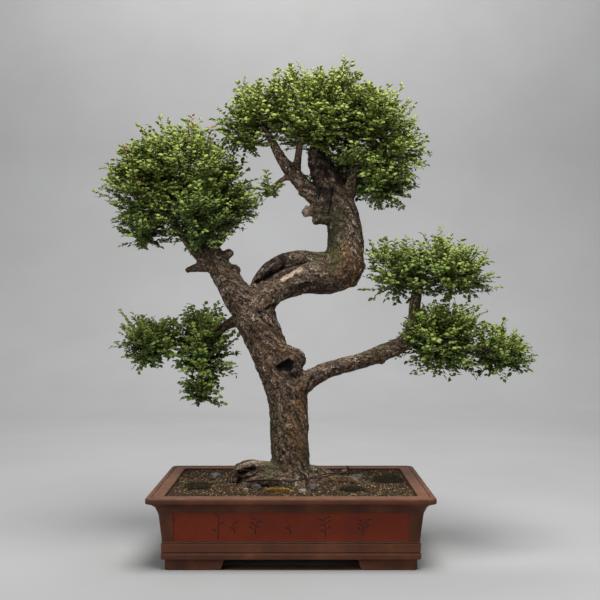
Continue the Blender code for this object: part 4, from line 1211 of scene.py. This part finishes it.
def twig_net(name, lobes, pick):
    """Branching lines from the limbs to every sprig: (places, leafy flags, parent) in millimetres."""
    middle = sum((Vector(lobe[:3]) for lobe in lobes), Vector()) / len(lobes)
    reach = max(max(lobe[3:]) for lobe in lobes)
    ranked = sorted(twig_starts, key=lambda start: min(in_lobe(start, lobe) for lobe in lobes))
    inside = [start for start in ranked if min(in_lobe(start, lobe) for lobe in lobes) < 0.9]
    joints = inside or ranked[:3]
    chains = []
    tips = sprig_places(name, lobes, pick)
    tips.sort(key=lambda tip: min((tip[0] - joint).length for joint in joints[:60]))
    table = np.array([tuple(joint) for joint in joints])
    costs = np.zeros(len(joints))
    for place, inner, heading in tips:
        outward = (place - middle) / reach
        outward = Vector((outward.x, outward.y, outward.z * 0.7 + 0.5)) + heading * 0.5
        outward.normalize()
        length = pick.uniform(*SPRIG_LENGTH)
        if inner > 0.9 and pick.random() < LONG_SHOOT_SHARE:
            place = place + outward * pick.uniform(*LONG_SHOOT)
            length *= 1.5
        foot = place - outward * length
        gaps = np.linalg.norm(table - np.array(foot), axis=1) + costs * 0.35
        best = int(gaps.argmin())
        start = Vector(table[best])
        way = foot - start
        count = max(int(way.length / TWIG_STEP), 1)
        bow = Vector((pick.uniform(-1, 1), pick.uniform(-1, 1), pick.uniform(0, 1.2)))
        bow *= min(way.length * 0.12, TWIG_BOW)
        line = [start + way * (step / count) + bow * math.sin(math.pi * step / count)
                for step in range(count + 1)]
        grown = np.array([tuple(point) for point in line[1:]])
        added = costs[best] + np.cumsum([way.length / count] * count)
        first = len(table)
        table = np.vstack([table, grown])
        costs = np.concatenate([costs, added])
        sag = Vector((pick.uniform(-0.2, 0.2), pick.uniform(-0.2, 0.2), pick.uniform(-0.3, 0.25)))
        shares = [step / SPRIG_STEPS for step in range(SPRIG_STEPS + 1)]
        sprig_line = [foot + (outward + sag * share) * length * share for share in shares]
        chains.append((line, sprig_line, best, first, inner))
    return chains


def twig_mesh(name, lobes, seed):
    """The pad's net as a mesh of lines with thickness, light and leafiness noted on it."""
    pick = random.Random(seed)
    chains = twig_net(name, lobes, pick)
    low = min(lobe[2] - lobe[5] for lobe in lobes)
    high = max(lobe[2] + lobe[5] for lobe in lobes)
    carried = {}
    parent_of = {}
    for line, _, best, first, _ in chains:
        for step in range(len(line) - 1):
            parent_of[first + step] = first + step - 1 if step else best
    for line, _, _, first, _ in chains:
        at = first + len(line) - 2
        while at in parent_of:
            carried[at] = carried.get(at, 0) + 1
            at = parent_of[at]
    verts, edges = [], []
    notes = {"girth": [], "leafy": [], "light": [], "blush": [], "lift": []}

    def add_line(points, widths, is_leafy, shade, warm, up):
        base = len(verts)
        verts.extend(tuple(grown_at(*point)) for point in points)
        edges.extend((base + index, base + index + 1) for index in range(len(points) - 1))
        notes["girth"] += widths
        for label, value in (("leafy", is_leafy), ("light", shade), ("blush", warm)):
            notes[label] += [value] * len(points)
        notes["lift"] += list(up) * len(points)

    for line, sprig_line, _, first, inner in chains:
        widths = [TWIG_TIP * carried.get(first + max(step - 1, 0), 1) ** 0.42
                  for step in range(len(line))]
        widths = [min(width, TWIG_FOOT) for width in widths]
        top = max((sprig_line[-1].z - low) / (high - low), 0.0)
        # Painted light and shade: lighter towards the top of the pad and at its skin, darker deep inside,
        # and each pad's own level.
        shade = 0.30 + 0.34 * top ** 1.5 + 0.20 * min(max(inner - 0.5, 0.0) / 0.5, 1.2) + LIGHT_LEVEL[name]
        shade += pick.uniform(-0.09, 0.09)
        warm = 0.75 if name == "leaves_left_top" and pick.random() < 0.035 else 0.0
        way = (sprig_line[-1] - sprig_line[0]).normalized()
        up = (Vector((0, 0, 1)) + way * 0.55 + Vector((0, -0.25, 0))).normalized()
        add_line(line, widths, 0.0, shade, warm, up)
        ends = [widths[-1] * (1 - 0.75 * step / SPRIG_STEPS) for step in range(SPRIG_STEPS + 1)]
        add_line(sprig_line, [min(end, TWIG_TIP * 1.4) for end in ends], 1.0, shade, warm, up)
    mesh = bpy.data.meshes.new(name + "_twigs")
    mesh.from_pydata(verts, edges, [])
    for label, values in notes.items():
        kind, part = ("FLOAT_VECTOR", "vector") if label == "lift" else ("FLOAT", "value")
        mesh.attributes.new(label, kind, "POINT").data.foreach_set(part, values)
    return link(name + "_lines", mesh)


blade = leaf_blade()
foliage = foliage_tree(blade, elm_leaf(), young_twig())
for seed, (name, lobes) in enumerate(PADS.items()):
    mesh = grow(twig_mesh(name, lobes, seed), foliage, Seed=seed)
    finish_piece(name.replace("leaves", "foliage"), mesh, "leaves", [name])
bpy.data.objects.remove(blade)

# ------------------------------------------------------------------ moss
# Cushions of moss pressed onto the soil: a soft mound with short shoots all over it, dark
# and brownish green except for one golden cushion before the trunk.


def cushion_moss(name, deep, mid, tip):
    """Cushion moss: darkest on the mound between the shoots, and each shoot its own colour from dark to
    bright.
    """
    surface, tree, shader, where = new_material(name, Roughness=0.95, Specular_IOR_Level=0.2)
    patch = grain(tree, where, 12 * MM)
    mixed = combine(tree, "ADD", noted(tree, "grain_tint"), spread(tree, patch, 0.3, 0.7, -0.25, 0.25))
    tree.links.new(ramp(tree, mixed, [(0.05, deep), (0.5, mid), (0.95, tip)]), shader.inputs["Base Color"])
    return surface


def shoot_shape(tree):
    return add(tree, "GeometryNodeMeshCone", {"Vertices": 4, "Radius Top": 0.12, "Radius Bottom": 0.55,
                                              "Depth": 3.4}).outputs["Mesh"]


green_moss = cushion_moss("green_cushion_moss", "#1b160d", "#32291a", "#565031")
golden_moss = cushion_moss("golden_cushion_moss", "#46300f", "#8e6a26", "#dcc672")
for seed, name in enumerate(("moss_left", "moss_right", "moss_back", "moss_front_right", "moss_golden")):
    surface, slot = (golden_moss, "golden_moss") if name == "moss_golden" else (green_moss, "moss")
    low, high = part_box(name)
    middle = (low + high) / 2
    shape = bmesh.new()
    uneven_ball(shape, middle, [span / 2 - 1.5 * MM for span in high - low], 5, 0.22)
    for vert in shape.verts:
        vert.co.z += 1.3 * MM * noise.noise(vert.co * 110)
    cushion = mesh_of(name, shape)
    shoots = scatter_tree("shoots_" + name, shoot_shape, surface, (0.7, 0.7, 0.6), (1.2, 1.2, 1.15), 0.45)
    sheet = link(name + "_sheet", cushion.copy())
    spikes = grow(sheet, shoots, Density=420000.0, Spacing=0.0011, Size=0.0008, Seed=seed)
    cushion.materials.append(surface)
    finish_piece("cushion_" + name, cushion, slot, [name])
    finish_piece("shoots_" + name, spikes, slot)

# ------------------------------------------------------------------ stones
# River stones and marble chips laid on the soil: worn round and pitted.


def worn_stone(name, dark, mid, pale):
    """Water-worn stone: matt, mottled and speckled darker with its own grain."""
    surface, tree, shader, where = new_material(name, Roughness=0.78)
    mottle = grain(tree, where, 9 * MM, 5.0, 0.6)
    speck = grain(tree, where, 1.4 * MM, 4.0, 0.7)
    base = ramp(tree, mottle, [(0.3, dark), (0.55, mid), (0.75, pale)])
    base = blend(tree, spread(tree, speck, 0.55, 0.7, 0.0, 0.6), base, linear(dark))
    tree.links.new(base, shader.inputs["Base Color"])
    relief(tree, shader, speck, 0.5 * MM, 0.6)
    return surface


grey_stone = worn_stone("worn_grey_stone", "#2b2926", "#46423c", "#6a645a")
pale_stone = worn_stone("worn_pale_stone", "#564c3f", "#7f7463", "#a89c88")
CHIPS = ("stone_pale", "pebble_white", "pebble_back")
for name in ("stone_grey", "stone_dark", "stone_right", "stone_left", *CHIPS):
    low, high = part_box(name)
    shape = bmesh.new()
    uneven_ball(shape, (low + high) / 2, [span / 2 - 0.4 * MM for span in high - low], 5, 0.2)
    for vert in shape.verts:
        vert.co += Vector((0.5, 0.3, -0.6)).normalized() * 0.8 * MM * noise.noise(vert.co * 160)
    mesh = mesh_of(name, shape)
    surface, slot = (pale_stone, "pale_stone") if name in CHIPS else (grey_stone, "stone")
    mesh.materials.append(surface)
    finish_piece("worn_" + name, mesh, slot, [name])

# ------------------------------------------------------------------ floor, light and camera
# A grey paper sweep, one broad soft light overhead, a weaker one from the left and one on
# the wall behind. The camera stands in front, at about half the object's height.

PAPER_START = 2.6
PAPER_BEND = 1.7
PAPER_REACH = 6.0


def paper_sweep():
    """Matt background paper: a floor that rises into a wall."""
    turns = [math.pi / 2 * step / 24 for step in range(1, 25)]
    profile = [(-PAPER_REACH, 0.0), (PAPER_START, 0.0)]
    profile += [(PAPER_START + PAPER_BEND * math.sin(turn), PAPER_BEND - PAPER_BEND * math.cos(turn))
                for turn in turns]
    profile += [(PAPER_START + PAPER_BEND, PAPER_REACH)]
    shape = bmesh.new()
    left, right = ([shape.verts.new((x, y, z)) for y, z in profile] for x in (-PAPER_REACH, PAPER_REACH))
    for index in range(len(profile) - 1):
        shape.faces.new((left[index], right[index], right[index + 1], left[index + 1]))
    sweep = link("paper_sweep", mesh_of("paper_sweep", shape))
    sweep.data.shade_smooth()
    surface, tree, shader, where = new_material("matt_background_paper", Roughness=0.9)
    base = ramp(tree, grain(tree, where, 0.6), [(0.3, "#989897"), (0.7, "#9e9e9e")])
    tree.links.new(base, shader.inputs["Base Color"])
    sweep.data.materials.append(surface)


def soft_light(name, place, aim, size, power):
    lamp = bpy.data.lights.new(name, "AREA")
    lamp.shape = "DISK"
    lamp.size = size
    lamp.energy = power
    item = bpy.data.objects.new(name, lamp)
    item.location = place
    item.rotation_euler = (Vector(aim) - Vector(place)).to_track_quat("-Z", "Y").to_euler()
    bpy.context.scene.collection.objects.link(item)


paper_sweep()
soft_light("overhead", (0.3, -0.9, 2.9), (0.0, 0.0, 0.5), 1.7, 108)
soft_light("from_left", (-2.2, -2.2, 1.7), (0.0, 0.0, 0.5), 1.8, 26)
soft_light("on_the_wall", (-0.1, 2.0, 4.8), (-0.2, 4.3, 2.6), 3.0, 200)
sky = bpy.data.worlds.new("soft_room")
sky.use_nodes = True
glow = sky.node_tree.nodes["Background"]
glow.inputs["Color"].default_value = linear("#e4e6e8")
glow.inputs["Strength"].default_value = 0.45
bpy.context.scene.world = sky
bpy.context.scene.view_settings.view_transform = "Standard"

CAMERA_DISTANCE = 2.094
CAMERA_HEIGHT = 0.531
CAMERA_RIGHT = 0.0187
CAMERA_PITCH = 90.915
camera = bpy.data.cameras.new("front")
camera.sensor_width = 36.0
camera.lens = 55.2
viewpoint = bpy.data.objects.new("front", camera)
viewpoint.location = (POT.x + CAMERA_RIGHT, POT.y - CAMERA_DISTANCE, CAMERA_HEIGHT)
viewpoint.rotation_euler = (math.radians(CAMERA_PITCH), 0.0, 0.0)
bpy.context.scene.collection.objects.link(viewpoint)
bpy.context.scene.camera = viewpoint
